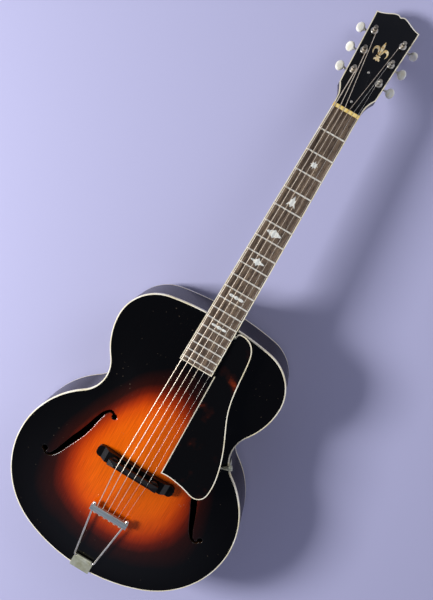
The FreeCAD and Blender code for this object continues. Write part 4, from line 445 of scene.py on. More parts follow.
# %% Outline arcs
TAIL_Y, RIM_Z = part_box("top_binding")[0].y / MM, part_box("top_binding")[1].z / MM
RIM_DEPTH, BINDING, PLATE_EDGE = 89.0, 2.0, 5.5
LOWER_BOUT, WAIST, UPPER_BOUT = 404.0, 236.5, 296.0
LOWER_PLACE, WAIST_RISE, UPPER_RISE, SHOULDER_RISE = 165.5, 165.0, 96.5, 79.0
WAIST_PLACE = LOWER_PLACE + WAIST_RISE
UPPER_PLACE = WAIST_PLACE + UPPER_RISE
BODY_LENGTH = UPPER_PLACE + SHOULDER_RISE
# radii of the rounds below and above the lower bout and above the upper one, as shares of those runs
SIDE_SHARE, HIP_SHARE, CROWN_SHARE = 0.94, 0.915, 0.911
WAIST_ARC, FIRST_ANGLE = 3, -math.pi / 2


def angle_about(centre, point):
    """Angle at which a point is seen from a centre."""
    return math.atan2(point[1] - centre[1], point[0] - centre[0])


def touching(tip, way, centre, radius):
    """Radius of an arc that starts at its tip, has its centre that way and touches a given round.

    The radius of the round is negative where it lies inside the arc.
    """
    across, along = tip[0] - centre[0], tip[1] - centre[1]
    return (across**2 + along**2 - radius**2) / (2 * (radius - across * way[0] - along * way[1]))


def outline_arcs():
    """Arcs of the treble half from tail to neck: centre, radius and turn in radians."""
    half_low, half_waist, half_up = LOWER_BOUT / 2, WAIST / 2, UPPER_BOUT / 2
    side, hip, crown = SIDE_SHARE * LOWER_PLACE, HIP_SHARE * WAIST_RISE, CROWN_SHARE * SHOULDER_RISE
    side_at = (half_low - side, LOWER_PLACE)
    hip_at = (half_low - hip, LOWER_PLACE)
    crown_at = (half_up - crown, UPPER_PLACE)
    tail = touching((0, 0), (0, 1), side_at, -side)
    tail_at = (0, tail)
    waist = touching((half_waist, WAIST_PLACE), (1, 0), hip_at, hip)
    waist_at = (half_waist + waist, WAIST_PLACE)
    bout = touching((half_up, UPPER_PLACE), (-1, 0), waist_at, waist)
    bout_at = (half_up - bout, UPPER_PLACE)
    top = touching((0, BODY_LENGTH), (0, -1), crown_at, -crown)
    top_at = (0, BODY_LENGTH - top)
    # the way straight out of the outline at the ends of the arcs
    outward = [
        FIRST_ANGLE, angle_about(tail_at, side_at), 0.0, angle_about(hip_at, waist_at),
        angle_about(bout_at, waist_at), 0.0, angle_about(top_at, crown_at), -FIRST_ANGLE,
    ]
    turns = [end - start for start, end in zip(outward, outward[1:])]
    centres = [tail_at, side_at, hip_at, waist_at, bout_at, crown_at, top_at]
    return list(zip(centres, [tail, side, hip, waist, bout, crown, top], turns))


OUTLINE_ARCS = outline_arcs()
print("outline:", len(OUTLINE_ARCS), "arcs a side,", BODY_LENGTH, "mm long")

# %% Outline by spinning
OUTLINE_STEP, SAME_POINT = 4.0, 0.01
BRIDGE_Y = 220.0


def at(x, y, z):
    """Point in metres from millimetres: x and z as in the frame, y from the tail."""
    return Vector((x, TAIL_Y + y, z)) * MM


def only_verts(parts):
    """The vertices among the parts that an operator returns."""
    return [part for part in parts if isinstance(part, bmesh.types.BMVert)]


def trace_half(bm, inset, z, side):
    """Spins the half outline of one side, from the tail to the neck."""
    tip = bm.verts.new(at(0, inset, z))
    for (x, y), radius, turn in OUTLINE_ARCS:
        steps = round(abs(turn) * radius / OUTLINE_STEP)
        spun = bmesh.ops.spin(
            bm, geom=[tip], cent=at(side * x, y, z), axis=(0, 0, side), angle=turn, steps=steps
        )
        tip = only_verts(spun["geom_last"])[0]


def trace(bm, inset, z):
    """Closed outline at one height; returns its edges."""
    known = set(bm.edges)
    for side in (1, -1):
        trace_half(bm, inset, z, side)
    fresh = [e for e in bm.edges if e not in known]
    verts = list(dict.fromkeys(v for e in fresh for v in e.verts))
    bmesh.ops.remove_doubles(bm, verts=verts, dist=SAME_POINT * MM)
    return [e for e in bm.edges if e not in known]


def half_width(inset, y):
    """Half width of the inset outline at a place along the body, in millimetres."""
    start = FIRST_ANGLE
    for k, ((x, centre), radius, turn) in enumerate(OUTLINE_ARCS):
        reach = radius + inset if k == WAIST_ARC else radius - inset
        base = start + math.pi if k == WAIST_ARC else start
        ends = [centre + reach * math.sin(a) for a in (base, base + turn)]
        if min(ends) <= y <= max(ends):
            half = math.sqrt(max(reach**2 - (y - centre) ** 2, 0.0))
            return x - half if k == WAIST_ARC else x + half
        start += turn
    return 0.0


print("half width at the bridge:", round(half_width(0.0, BRIDGE_Y), 1), "mm")


# %% Pieces from meshes
WELD = 0.002


def keep(name, bm, finishes, body, *stands_for, sharp=35.0):
    """Closes a bmesh into a piece that rides on a body and stands for CAD nodes."""
    bmesh.ops.remove_doubles(bm, verts=bm.verts, dist=WELD * MM)
    bmesh.ops.recalc_face_normals(bm, faces=bm.faces)
    mesh = bpy.data.meshes.new(name)
    bm.to_mesh(mesh)
    bm.free()
    for finish in finishes:
        mesh.materials.append(finish)
    mesh.shade_smooth()
    mesh.set_sharp_from_angle(angle=math.radians(sharp))
    made = bpy.data.objects.new(name, mesh)
    scene.collection.objects.link(made)
    if body:
        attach(made, body)
    if stands_for:
        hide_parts(*stands_for)
    print(f"{name}: {len(mesh.polygons)} faces")
    return made


print("pieces are closed, smoothed and handed to their body")

# %% [markdown]
# ## Carved top and back
# The top is one sheet with two f-holes. The outline and the holes are filled, cut into a fine grid by
# planes, and every point is lifted to the carved arch. Then the sheet is extruded to its thickness, and
# the upper edges of the f-holes are rounded, as a file leaves them.

# %% Arch
ARCH_CENTRE, TOP_ARCH, BACK_ARCH = 226.0, 19.0, 16.0
CROSS_POWER, LONG_POWER = 0.88, 0.8
GRID, GRID_CUTS, GRID_SNAP = 5.0, (41, 51), 0.02


def swell(run, power):
    """Smooth rise from 0 at the rim to 1 in the middle."""
    return math.sin(math.pi / 2 * max(run, 0.0) ** power) ** 2


def arch(point):
    """Share of the full arch at a point of the mesh."""
    x, y = abs(point.x) / MM, point.y / MM - TAIL_Y
    wide = half_width(BINDING, y)
    if wide <= x:
        return 0.0
    end = BINDING if y < ARCH_CENTRE else BODY_LENGTH - BINDING
    return swell(1 - x / wide, CROSS_POWER) * swell((y - end) / (ARCH_CENTRE - end), LONG_POWER)


def cut(bm, spot, flat, snap):
    """Cuts a mesh along a plane; points within the snap, in millimetres, count as on it."""
    everything = bm.verts[:] + bm.edges[:] + bm.faces[:]
    bmesh.ops.bisect_plane(bm, geom=everything, dist=snap * MM, plane_co=spot, plane_no=flat)


def gridded(bm):
    """Cuts the flat sheet by planes, so that it can bend both ways."""
    for axis, count in enumerate(GRID_CUTS):
        for k in range(-count, count + 1):
            spot = Vector((0, (TAIL_Y + BODY_LENGTH / 2) * MM, 0))
            spot[axis] += k * GRID * MM
            flat = Vector((0, 0, 0))
            flat[axis] = 1.0
            cut(bm, spot, flat, GRID_SNAP)


def thickened(bm, faces, way):
    """Second copy of the faces, moved by a vector in metres and joined to them all round."""
    doubled = bmesh.ops.extrude_face_region(bm, geom=faces, use_keep_orig=True)
    bmesh.ops.translate(bm, verts=only_verts(doubled["geom"]), vec=way)


def rounded(bm, edges, size, segments):
    """Rounds edges; the size is in millimetres."""
    bmesh.ops.bevel(
        bm, geom=edges, offset=size * MM, segments=segments, profile=0.5, affect="EDGES", material=-1
    )


print("arch in the middle:", round(arch(at(0, ARCH_CENTRE, 0)) * TOP_ARCH, 1), "mm")

# %% F-holes
F_LENGTH, F_WIDTH, F_SIDE, F_PLACE, F_EYE, EYE_STEPS = 148.0, 10.5, 111.0, BRIDGE_Y, 0.42, 18
F_SPINE = [
    (0.257, 0.396), (0.215, 0.430), (0.160, 0.399), (0.108, 0.284), (0.068, 0.142), (0.024, 0.014),
    (-0.027, -0.101), (-0.078, -0.230), (-0.135, -0.355), (-0.186, -0.419), (-0.234, -0.424),
    (-0.262, -0.380),
]
F_WIDTHS = [0.44, 0.42, 0.46, 0.66, 0.88, 1.0, 0.96, 0.82, 0.62, 0.46, 0.42, 0.44]


def smooth_line(points, name, pieces=6):
    """Points along a smooth curve through the given ones, read from a Bezier spline."""
    data = bpy.data.curves.new(name, "CURVE")
    data.dimensions = "3D"
    data.resolution_u = pieces
    line = data.splines.new("BEZIER")
    line.bezier_points.add(len(points) - 1)
    for knot, point in zip(line.bezier_points, points):
        knot.co = point
        knot.handle_left_type = knot.handle_right_type = "AUTO"
    drawn = bpy.data.objects.new(name, data)
    scene.collection.objects.link(drawn)
    bpy.context.view_layer.update()
    flat = bpy.data.meshes.new_from_object(drawn)
    found = [v.co.copy() for v in flat.vertices]
    bpy.data.objects.remove(drawn)
    return found


def draw_f_hole(bm, side, z):
    """Closed line of one sound hole: two flanks, and a round eye at each end spun about its middle."""
    spine = [at(side * (F_SIDE - x * F_LENGTH), F_PLACE + y * F_LENGTH, z) for x, y in F_SPINE]
    flanks = [[], []]
    for k, (spot, width) in enumerate(zip(spine, F_WIDTHS)):
        ahead = spine[min(k + 1, len(spine) - 1)] - spine[max(k - 1, 0)]
        out = Vector((-ahead.y, ahead.x, 0)).normalized() * (width * F_WIDTH / 2 * MM)
        for flank, hand in zip(flanks, (1, -1)):
            flank.append(spot + out * hand)
    eyes = (spine[0], spine[-1])
    sides = []
    for flank in flanks:
        line = smooth_line(flank, "f_hole_flank")
        sides.append([p for p in line if min((p - eye).length for eye in eyes) > F_EYE * F_WIDTH * MM])
    chains = [[bm.verts.new(p) for p in side_points] for side_points in sides]
    for chain in chains:
        for one, two in zip(chain, chain[1:]):
            bm.edges.new((one, two))
    for eye, end in zip(eyes, (0, -1)):
        first, last = chains[0][end], chains[1][end]
        turn = (angle_about(eye, last.co) - angle_about(eye, first.co) + math.pi) % (2 * math.pi) - math.pi
        turn -= math.copysign(2 * math.pi, turn)
        spun = bmesh.ops.spin(bm, geom=[first], cent=eye, axis=(0, 0, 1), angle=turn, steps=EYE_STEPS)
        bm.edges.new((only_verts(spun["geom_last"])[0], last))


print("f-hole drawn from", len(F_SPINE), "points")

# %% Top plate
FILED_EDGE, PLATE_SHARP = 0.7, 50.0
# a point with more than this share of the arch lies inside the rim
# a face whose normal rises less than this is a wall of a sound hole
INSIDE, STEEP = 0.02, 0.3
top = bmesh.new()
trace(top, BINDING, RIM_Z)
for side in (1, -1):
    draw_f_hole(top, side, RIM_Z)
bmesh.ops.triangle_fill(top, use_beauty=False, use_dissolve=False, edges=top.edges[:])
gridded(top)
for v in top.verts:
    v.co.z += arch(v.co) * TOP_ARCH * MM
hole_rim = [e for e in top.edges if e.is_boundary and all(arch(v.co) > INSIDE for v in e.verts)]
thickened(top, top.faces[:], (0, 0, -PLATE_EDGE * MM))
bmesh.ops.recalc_face_normals(top, faces=top.faces)
for f in top.faces:
    if abs(f.normal.z) < STEEP and arch(f.calc_center_median()) > INSIDE:
        f.material_index = 1
rounded(top, [e for e in hole_rim if e.is_valid], FILED_EDGE, segments=2)
keep("carved_top", top, [SUNBURST, STAINED_EDGE], "guitar", "top_plate", sharp=PLATE_SHARP)

# %% Back plate
back = bmesh.new()
trace(back, BINDING, RIM_Z - RIM_DEPTH)
bmesh.ops.triangle_fill(back, use_beauty=False, use_dissolve=False, edges=back.edges[:])
gridded(back)
for v in back.verts:
    v.co.z -= arch(v.co) * BACK_ARCH * MM
thickened(back, back.faces[:], (0, 0, PLATE_EDGE * MM))
keep("carved_back", back, [BACK_MAPLE], "guitar", "back_plate", sharp=PLATE_SHARP)

# %% [markdown]
# ## Ribs and bindings
# A rib is the half outline drawn up into a wall and thickened inward. Each binding is the strip between
# two outlines, extruded, with its outer edge rounded as a scraper leaves it. The upper strip is open
# where the neck passes.

# %% Ribs
RIB_WALL = 2.4
for side, name in ((1, "rib_treble"), (-1, "rib_bass")):
    rib = bmesh.new()
    trace_half(rib, 0.0, RIM_Z - RIM_DEPTH + PLATE_EDGE, side)
    wall = bmesh.ops.extrude_edge_only(rib, edges=rib.edges[:])
    bmesh.ops.translate(rib, verts=only_verts(wall["geom"]), vec=(0, 0, (RIM_DEPTH - 2 * PLATE_EDGE) * MM))
    bmesh.ops.recalc_face_normals(rib, faces=rib.faces)
    bmesh.ops.solidify(rib, geom=rib.faces[:], thickness=RIB_WALL * MM)
    keep(f"bent_{name}", rib, [RIB_MAPLE], "guitar", name)

# %% Bindings
NECK_GAP, NECK_SIDE, EDGE_ROUND = 27.0, -100.0, 0.8
CORNER_ANGLE = 1.0


def is_outer_corner(edge, level):
    """True for a sharp edge at one height, in metres, on the outer side of the strip."""
    if len(edge.link_faces) != 2 or edge.calc_face_angle() <= CORNER_ANGLE:
        return False
    if any(abs(v.co.z - level) >= SAME_POINT * MM for v in edge.verts):
        return False
    mid = (edge.verts[0].co + edge.verts[1].co) / 2
    return abs(mid.x) / MM > half_width(BINDING / 2, mid.y / MM - TAIL_Y)


def binding(name, low, outer_top, open_at_neck, stands_for):
    """Strip of celluloid let into the edge; the rounded edge is the one at the plate's face."""
    bm = bmesh.new()
    loops = trace(bm, 0.0, low) + trace(bm, BINDING, low)
    bmesh.ops.bridge_loops(bm, edges=loops)
    if open_at_neck:
        middles = [(f, f.calc_center_median()) for f in bm.faces]
        gone = [f for f, middle in middles if abs(middle.x) < NECK_GAP * MM and middle.y > NECK_SIDE * MM]
        bmesh.ops.delete(bm, geom=gone, context="FACES")
    thickened(bm, bm.faces[:], (0, 0, outer_top * MM))
    bmesh.ops.recalc_face_normals(bm, faces=bm.faces)
    level = (low + outer_top) * MM
    rounded(bm, [e for e in bm.edges if is_outer_corner(e, level)], EDGE_ROUND, segments=3)
    return keep(name, bm, [CREAM], "guitar", stands_for)


binding("top_edge_binding", RIM_Z - PLATE_EDGE, PLATE_EDGE, True, "top_binding")
binding("back_edge_binding", RIM_Z - RIM_DEPTH + PLATE_EDGE, -PLATE_EDGE, False, "back_binding")

# %% [markdown]
# ## Strings
# A string is straight from its post to the nut, over the board to the saddle, and on to the crossbar.
# Its line is a NURBS spline with the corners as control points, and one more point close to each edge
# keeps the bend tight. The length behind the saddle is cut in two, because each half crosses one joint.

# %% Frames and routes
SCALE, JOINT_FRET, NECK_PITCH, BOARD_RISE = 647.7, 14, 4.9, 16.0
HEAD_ANGLE, HEAD_DROP = 16.0, 5.0
STRING_SIZES, FIRST_WOUND = [0.33, 0.43, 0.66, 0.91, 1.17, 1.42], 2
FIRST_POST, POST_STEP, POSTS_A_SIDE = (21.4, 58.0), (1.3, 34.8), 3
POST_WAIST, WINDING_TOP, WINDING_FALL, WINDING_GAP = 2.6, 6.8, 3.6, 0.5
NUT_STEP, BRIDGE_STEP, TAIL_STEP = 7.3, 11.2, 9.6
NUT_DEPTH, NUT_RISE, SADDLE_AHEAD, SADDLE_RISE = 5.2, 1.4, 2.5, 5.4
BAR_PLACE, BAR_RISE, BAR_DEPTH = 127.5, 22.0, 12.0
# the points that keep a bend tight lie this many string sizes from the edge
NEAR_EDGE = 6


def fret_place(number):
    """Distance of a fret from the nut; twelve equal steps halve the string."""
    return SCALE * (1 - 2 ** (-number / 12))


def tilted(place, tilt):
    """Frame at a place in metres, tilted back about the X axis by degrees."""
    return Matrix.Translation(place) @ Matrix.Rotation(math.radians(-tilt), 4, "X")


# the board passes over the edge of the body at the joint, and both frames begin at the nut
JOINT = tilted(at(0, BODY_LENGTH, RIM_Z + BOARD_RISE), NECK_PITCH)
NECK = JOINT @ Matrix.Translation((0, fret_place(JOINT_FRET) * MM, 0))
HEAD = NECK @ tilted(Vector((0, NUT_DEPTH, -HEAD_DROP)) * MM, HEAD_ANGLE)
treble_posts = [
    tuple(first + n * step for first, step in zip(FIRST_POST, POST_STEP)) for n in range(POSTS_A_SIDE)
]
POSTS = treble_posts + [(-x, y) for x, y in reversed(treble_posts)]


def local(place, x, y, z):
    """Point of a turned frame, given in millimetres."""
    return place @ (Vector((x, y, z)) * MM)


def across(k, step):
    """Place of string k + 1 across the guitar, the thinnest on the treble side."""
    return ((len(STRING_SIZES) - 1) / 2 - k) * step


def wire_slot(k):
    """Finish slot of string k + 1: plain steel for the thin ones, wound wire from the third on."""
    return int(k >= FIRST_WOUND)


def winding_start(k):
    """Angle at which a string meets its post, and the radius of its line there."""
    x, y = POSTS[k]
    reach = POST_WAIST + STRING_SIZES[k] / 2
    run = Vector((across(k, NUT_STEP) - x, -y))
    return math.atan2(run.y, run.x) - math.copysign(math.acos(reach / run.length), x), reach


def corners(k):
    """Corner points of one string: post, nut, saddle and crossbar."""
    x, y = POSTS[k]
    angle, reach = winding_start(k)
    half = STRING_SIZES[k] / 2
    return (
        local(HEAD, x + reach * math.cos(angle), y + reach * math.sin(angle), WINDING_TOP),
        local(NECK, across(k, NUT_STEP), NUT_DEPTH, NUT_RISE + half),
        local(NECK, across(k, BRIDGE_STEP), SADDLE_AHEAD - SCALE, SADDLE_RISE + half),
        at(across(k, TAIL_STEP), BAR_PLACE, RIM_Z + BAR_RISE),
    )


def towards(start, end, length):
    """Point on the way from start to end, a length in millimetres from start."""
    return start + (end - start).normalized() * (length * MM)


def add_wire(bm, points, size, index=0, fineness=8):
    """Round wire along a NURBS line, added to a mesh with one of its finishes."""
    data = bpy.data.curves.new("wire", "CURVE")
    data.dimensions = "3D"
    data.resolution_u = fineness
    data.bevel_depth = size / 2 * MM
    data.bevel_resolution = 2
    data.use_fill_caps = True
    line = data.splines.new("NURBS")
    line.points.add(len(points) - 1)
    for knot, point in zip(line.points, points):
        knot.co = (*point, 1.0)
    line.order_u = 3
    line.use_endpoint_u = True
    drawn = bpy.data.objects.new("wire", data)
    scene.collection.objects.link(drawn)
    bpy.context.view_layer.update()
    known = set(bm.faces)
    bm.from_mesh(bpy.data.meshes.new_from_object(drawn))
    bpy.data.objects.remove(drawn)
    for f in bm.faces:
        if f not in known:
            f.material_index = index


for k in range(len(STRING_SIZES)):
    turns = corners(k)
    length = sum((b - a).length for a, b in zip(turns, turns[1:]))
    print(f"string {k + 1}:", round(length / MM), "mm")

# %% Playing lengths
WIRES = [PLAIN_STEEL, WOUND_WIRE]
for k, size in enumerate(STRING_SIZES):
    post, nut, saddle, bar = corners(k)
    near = NEAR_EDGE * size
    route = [
        post, towards(nut, post, near), nut, towards(nut, saddle, near),
        towards(saddle, nut, near), saddle, towards(saddle, bar, near),
    ]
    bm = bmesh.new()
    add_wire(bm, route, size, wire_slot(k), fineness=12)
    made = keep(f"string_{k + 1}_wire", bm, WIRES, None, f"string_{k + 1}")
    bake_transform(made)

# %% Lengths behind the saddle
BALL_WIDTH, BALL_RADIUS, BALL_SIDES, BAR_GAP, BEND_ROOM = 4.2, 1.9, 20, 0.35, 20.0
upper, lower, balls = bmesh.new(), bmesh.new(), bmesh.new()
for k, size in enumerate(STRING_SIZES):
    saddle, bar = corners(k)[2:]
    middle = (saddle + bar) / 2
    end = towards(bar, saddle, -(BAR_DEPTH / 2 + BALL_RADIUS + BAR_GAP))
    near = towards(saddle, bar, NEAR_EDGE * size)
    add_wire(upper, [near, towards(saddle, bar, BEND_ROOM), middle], size, wire_slot(k))
    add_wire(lower, [middle, towards(bar, saddle, BEND_ROOM), end], size, wire_slot(k))
    turned = Matrix.Translation(end) @ Matrix.Rotation(math.pi / 2, 4, "Y")
    bmesh.ops.create_cone(
        balls, cap_ends=True, segments=BALL_SIDES, radius1=BALL_RADIUS * MM, radius2=BALL_RADIUS * MM,
        depth=BALL_WIDTH * MM, matrix=turned,
    )
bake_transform(keep("after_lengths_upper", upper, WIRES, None, "string_tails"))
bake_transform(keep("after_lengths_lower", lower, WIRES, None, "string_tails"))
keep("string_balls", balls, [WOUND_WIRE], "tailpiece", "string_tails")

# %% [markdown]
# ## Tuners
# A post is turned on a lathe, so its profile is spun round its axis. The wheel at its foot is a disc
# whose rim goes in and out for the teeth. The string end lies round the waist in open turns, and it
# belongs to the post, because it turns with it. The worm's thread is a small profile spun and moved
# along its shaft at once, and the button is an oval disc with a generous round.

# %% Posts and windings
POST_PROFILE = [
    (0, -23.6), (3.1, -23.6), (3.1, 1.28), (2.6, 1.28), (2.6, 8.22), (3.1, 8.72), (3.1, 10.9), (2.5, 11.5),
    (0, 11.5),
]
# pitch radii of the wheel and of the worm that turns it, and how far their teeth reach out and in from there
GEAR_RADIUS, WORM_RADIUS, TOOTH_OUT, TOOTH_IN = 4.2, 2.6, 0.6, 0.8
GEAR_LOW, GEAR_HIGH, GEAR_TEETH = -22.5, -19.5, 12
GEAR_TIP, GEAR_ROOT = GEAR_RADIUS + TOOTH_OUT, GEAR_RADIUS - TOOTH_IN
TOOTH_POINTS, TURN_POINTS = 4, 12


def up_axis(place):
    """Direction of the local Z axis of a placed frame."""
    return (place.to_3x3() @ Vector((0, 0, 1))).normalized()


def spin_profile(bm, profile, place, steps=32):
    """Turned shape: radius and height pairs spun round the local Z axis of a placed frame."""
    verts = [bm.verts.new(local(place, r, 0, z)) for r, z in profile]
    edges = [bm.edges.new(pair) for pair in zip(verts, verts[1:])]
    bmesh.ops.spin(
        bm, geom=verts + edges, cent=place.translation, axis=up_axis(place), angle=2 * math.pi, steps=steps,
        use_merge=True,
    )


def add_gear(bm, place):
    """Toothed wheel at the foot of a post: two points out and two in for each tooth."""
    gear = bmesh.ops.create_circle(
        bm, cap_ends=True, segments=TOOTH_POINTS * GEAR_TEETH, radius=GEAR_TIP * MM,
        matrix=place @ Matrix.Translation((0, 0, GEAR_LOW * MM)),
    )
    middle = local(place, 0, 0, GEAR_LOW)
    for n, v in enumerate(gear["verts"]):
        if n % TOOTH_POINTS >= TOOTH_POINTS / 2:
            v.co = middle + (v.co - middle) * (GEAR_ROOT / GEAR_TIP)
    disc = [f for f in bm.faces if len(f.verts) == TOOTH_POINTS * GEAR_TEETH]
    thickened(bm, disc, place.to_3x3() @ Vector((0, 0, (GEAR_HIGH - GEAR_LOW) * MM)))


def winding_route(k, place):
    """Points of a string end that lies in open turns round its post, from the top down to a full quarter."""
    angle, reach = winding_start(k)
    rise = STRING_SIZES[k] + WINDING_GAP
    quarters = int(WINDING_FALL / (rise / 4))
    route = []
    for step in range(quarters * TURN_POINTS // 4 + 1):
        turn = angle - math.copysign(2 * math.pi * step / TURN_POINTS, POSTS[k][0])
        fall = rise * step / TURN_POINTS
        route.append(local(place, reach * math.cos(turn), reach * math.sin(turn), WINDING_TOP - fall))
    return route


for k, (x, y) in enumerate(POSTS):
    place = HEAD @ Matrix.Translation(Vector((x, y, 0)) * MM)
    bm = bmesh.new()
    spin_profile(bm, POST_PROFILE, place)
    add_gear(bm, place)
    add_wire(bm, winding_route(k, place), STRING_SIZES[k], 1 + wire_slot(k), fineness=3)
    named = f"tuner_post_{k + 1}"
    keep(f"{named}_turned", bm, [POST_METAL, PLAIN_STEEL, WOUND_WIRE], f"post_{k + 1}", named)

# %% Keys
BUTTON_TURNS = [10.0, 15.0, 75.0, 8.0, 45.0, 5.0]
KEY_LIFT, KEY_DROP = GEAR_RADIUS + WORM_RADIUS, (GEAR_LOW + GEAR_HIGH) / 2
BUTTON_SIDES = 48
BUTTON_PLACE, BUTTON_LENGTH, BUTTON_WIDTH, BUTTON_THICK, BUTTON_ROUND = 21.5, 13.0, 15.5, 6.6, 2.4
AXLE_PROFILE = [
    (0, -8.7), (1.7, -8.7), (1.7, -5.3), (1.85, -5.3), (1.85, 5.3), (1.7, 5.3), (1.7, 13.2), (2.6, 13.6),
    (2.6, 14.9), (1.7, 15.3), (1.7, 16.0), (0, 16.0),
]
WORM_PITCH, WORM_TURNS, THREAD_STEPS = 2 * math.pi * GEAR_RADIUS / GEAR_TEETH, 4, 24
WORM_CORE, WORM_TIP = WORM_RADIUS - TOOTH_IN, WORM_RADIUS + TOOTH_OUT
WORM_TOOTH = [(WORM_CORE, -0.5), (WORM_TIP, -0.22), (WORM_TIP, 0.22), (WORM_CORE, 0.5)]


def add_worm(bm, along):
    """Thread of the worm: its tooth is spun round the shaft and moved along it at once."""
    start = -WORM_PITCH * WORM_TURNS / 2
    ring = [bm.verts.new(local(along, r, 0, start + z)) for r, z in WORM_TOOTH]
    outline = [bm.edges.new(pair) for pair in zip(ring, ring[1:] + ring[:1])]
    way = up_axis(along)
    steps = THREAD_STEPS * WORM_TURNS
    bmesh.ops.spin(
        bm, geom=ring + outline, cent=along.translation, axis=way, angle=2 * math.pi * WORM_TURNS,
        steps=steps, dvec=way * (WORM_PITCH * WORM_TURNS / steps * MM),
    )
    bmesh.ops.holes_fill(bm, edges=[e for e in bm.edges if e.is_boundary], sides=len(WORM_TOOTH))


def add_button(bm, place, turn):
    """Oval disc with rounded rims at the end of the shaft, turned about it by degrees."""
    oval = Matrix.Diagonal((BUTTON_LENGTH / 2 * MM, BUTTON_WIDTH / 2 * MM, BUTTON_THICK * MM, 1))
    tilt = Matrix.Rotation(math.radians(turn), 4, "X")
    turned = place @ Matrix.Translation((BUTTON_PLACE * MM, 0, 0)) @ tilt
    disc = bmesh.ops.create_cone(
        bm, cap_ends=True, segments=BUTTON_SIDES, radius1=1, radius2=1, depth=1, matrix=turned @ oval
    )
    around = dict.fromkeys(e for v in disc["verts"] for e in v.link_edges)
    rims = [e for e in around if any(len(f.verts) > 4 for f in e.link_faces)]
    rounded(bm, rims, BUTTON_ROUND, segments=5)


for k, (x, y) in enumerate(POSTS):
    facing = Matrix.Scale(math.copysign(1, x), 4, (1, 0, 0))
    place = HEAD @ Matrix.Translation(Vector((x, y + KEY_LIFT, KEY_DROP)) * MM) @ facing
    along = place @ Matrix.Rotation(math.pi / 2, 4, "Y")
    bm = bmesh.new()
    spin_profile(bm, AXLE_PROFILE, along)
    add_worm(bm, along)
    known = set(bm.faces)
    add_button(bm, place, BUTTON_TURNS[k])
    for f in bm.faces:
        f.material_index = int(f not in known)
    keep(f"tuner_key_{k + 1}_turned", bm, [NICKEL, IVORY], f"key_{k + 1}", f"tuner_key_{k + 1}")

# %% [markdown]
# ## Inlay and pickguard edge
# The fret markers are cut from shell with a fine saw. Each one is drawn as a quarter, or as a half for the
# arrow, and mirrored, so both sides agree. The celluloid edge of the pickguard is the CAD piece without
# the strip along the fingerboard, because there the sheet lies against the wood and is not bound.

# %% Fret markers
INLAY_DEPTH, INLAY_PROUD = 1.0, 0.03
STAR = [(0, 0), (6.4, 0), (3.4, 1.0), (4.4, 4.2), (1.1, 3.0), (0, 6.6)]
ARROW = [(0, 9.6), (2.2, 3.6), (4.4, 2.2), (3.8, -0.6), (7.6, -8.2), (2.8, -5.2), (0, -8.6)]
LEAF = [(0, 0), (12.6, 0), (9.2, 2.2), (7.4, 2.0), (5.2, 4.4), (3.0, 4.2), (0, 7.0)]
KITE = [(0, 0), (12.4, 0), (8.8, 1.5), (6.0, 1.4), (4.6, 3.4), (2.2, 3.6), (0, 7.0)]
TIE = [(0, 0), (12.8, 0), (10.4, 2.1), (6.6, 2.4), (3.4, 1.2), (2.0, 2.3), (0, 2.9)]
BARS = [(0, 0), (13.2, 0), (11.4, 1.7), (7.0, 1.9), (4.6, 0.7), (2.6, 1.9), (0, 2.6)]
MARKERS = {3: STAR, 5: ARROW, 7: LEAF, 9: KITE, 12: TIE, 15: BARS}
inlay = bmesh.new()
for number, plan in MARKERS.items():
    known = set(inlay.verts)
    inlay.faces.new([inlay.verts.new(Vector((x, y, INLAY_PROUD)) * MM) for x, y in plan])
    for axis in ("X",) if plan is ARROW else ("X", "Y"):
        fresh = [v for v in inlay.verts if v not in known]
        edges = dict.fromkeys(e for v in fresh for e in v.link_edges)
        faces = dict.fromkeys(f for v in fresh for f in v.link_faces)
        bmesh.ops.mirror(inlay, geom=[*fresh, *edges, *faces], axis=axis, merge_dist=SAME_POINT * MM)
    fresh = [v for v in inlay.verts if v not in known]
    middle = (fret_place(number) + fret_place(number - 1)) / 2
    bmesh.ops.transform(inlay, matrix=NECK @ Matrix.Translation((0, -middle * MM, 0)), verts=fresh)
thickened(inlay, inlay.faces[:], NECK.to_3x3() @ Vector((0, 0, -INLAY_DEPTH * MM)))
keep("shell_markers", inlay, [PEARL], "guitar", "fret_markers")

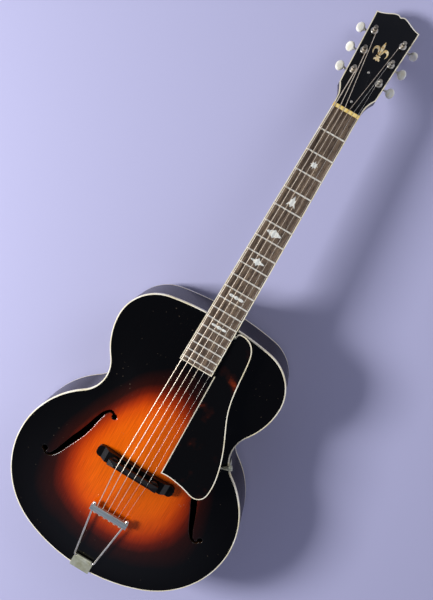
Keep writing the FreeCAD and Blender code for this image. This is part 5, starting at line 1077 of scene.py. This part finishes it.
# %% Pickguard edge
BOARD_END, STRIP_END, STRIP_WIDTH = 426.5, 498.0, 2.4
STRIP_FOOT, STRIP_HEAD = (37.02, 243.9), (30.18, 499.9)
EDGE_WELD, EDGE_SNAP = 0.005, 0.001
edge = bmesh.new()
edge.from_mesh(nodes["pickguard_binding"].data)
bmesh.ops.transform(edge, matrix=nodes["pickguard_binding"].matrix_world, verts=edge.verts)
bmesh.ops.remove_doubles(edge, verts=edge.verts, dist=EDGE_WELD * MM)
low_end, high_end = at(0, BOARD_END, 0), at(0, STRIP_END, 0)
line = at(*STRIP_HEAD, 0) - at(*STRIP_FOOT, 0)
aside = Vector((-line.y, line.x, 0)).normalized()
corner = at(*STRIP_FOOT, 0) - aside * (STRIP_WIDTH * MM)
lengthwise = Vector((0, 1, 0))
for spot, flat in ((low_end, lengthwise), (high_end, lengthwise), (corner, aside)):
    cut(edge, spot, flat, EDGE_SNAP)
gone = []
for f in edge.faces:
    middle = f.calc_center_median()
    beside = (middle - corner).dot(aside) > 0
    if beside and low_end.y < middle.y < high_end.y:
        gone.append(f)
bmesh.ops.delete(edge, geom=gone, context="FACES")
bmesh.ops.holes_fill(edge, edges=[e for e in edge.edges if e.is_boundary])
keep("pickguard_edge", edge, [CREAM], "guitar", "pickguard_binding")

# %% [markdown]
# ## Finishes for the pieces that stay
# The other CAD nodes already have the right shape, so they only change their material.

# %% Dress the frame
DRESS = {
    NECK_WOOD: ["neck", "heel_cap"],
    BARE_WOOD: ["linings", "neck_block", "tail_block", "tone_bars"],
    ROSEWOOD: ["fingerboard"],
    CREAM: ["fingerboard_binding", "headstock_binding", "end_pin"],
    BONE: ["nut"],
    GOLD_PEARL: ["headstock_inlay"],
    BLACK_LACQUER: ["headstock_veneer"],
    BLACK_PLASTIC: ["truss_rod_cover"],
    EBONY: ["bridge_base", "bridge_saddle"],
    TORTOISE: ["pickguard"],
    FRET_METAL: ["frets"],
    NICKEL: [
        "headstock_screws", "tuner_bushings", "tuner_plates", "tailpiece_frame", "tailpiece_nuts",
        "tailpiece_screws",
    ],
    DARK_NICKEL: ["thumbwheel_bass", "thumbwheel_treble", "bridge_studs"],
    BRUSHED_NICKEL_SKY_TINTED: ["tailpiece_crossbar"],
    WARM_NICKEL: ["tailpiece_bracket", "pickguard_bracket", "pickguard_fasteners"],
    STEEL: ["truss_rod", "truss_rod_nut"],
}
for finish, names in DRESS.items():
    for name in names:
        mesh = nodes[name].data
        mesh.materials.clear()
        mesh.materials.append(finish)
print("dressed", sum(len(names) for names in DRESS.values()), "nodes")
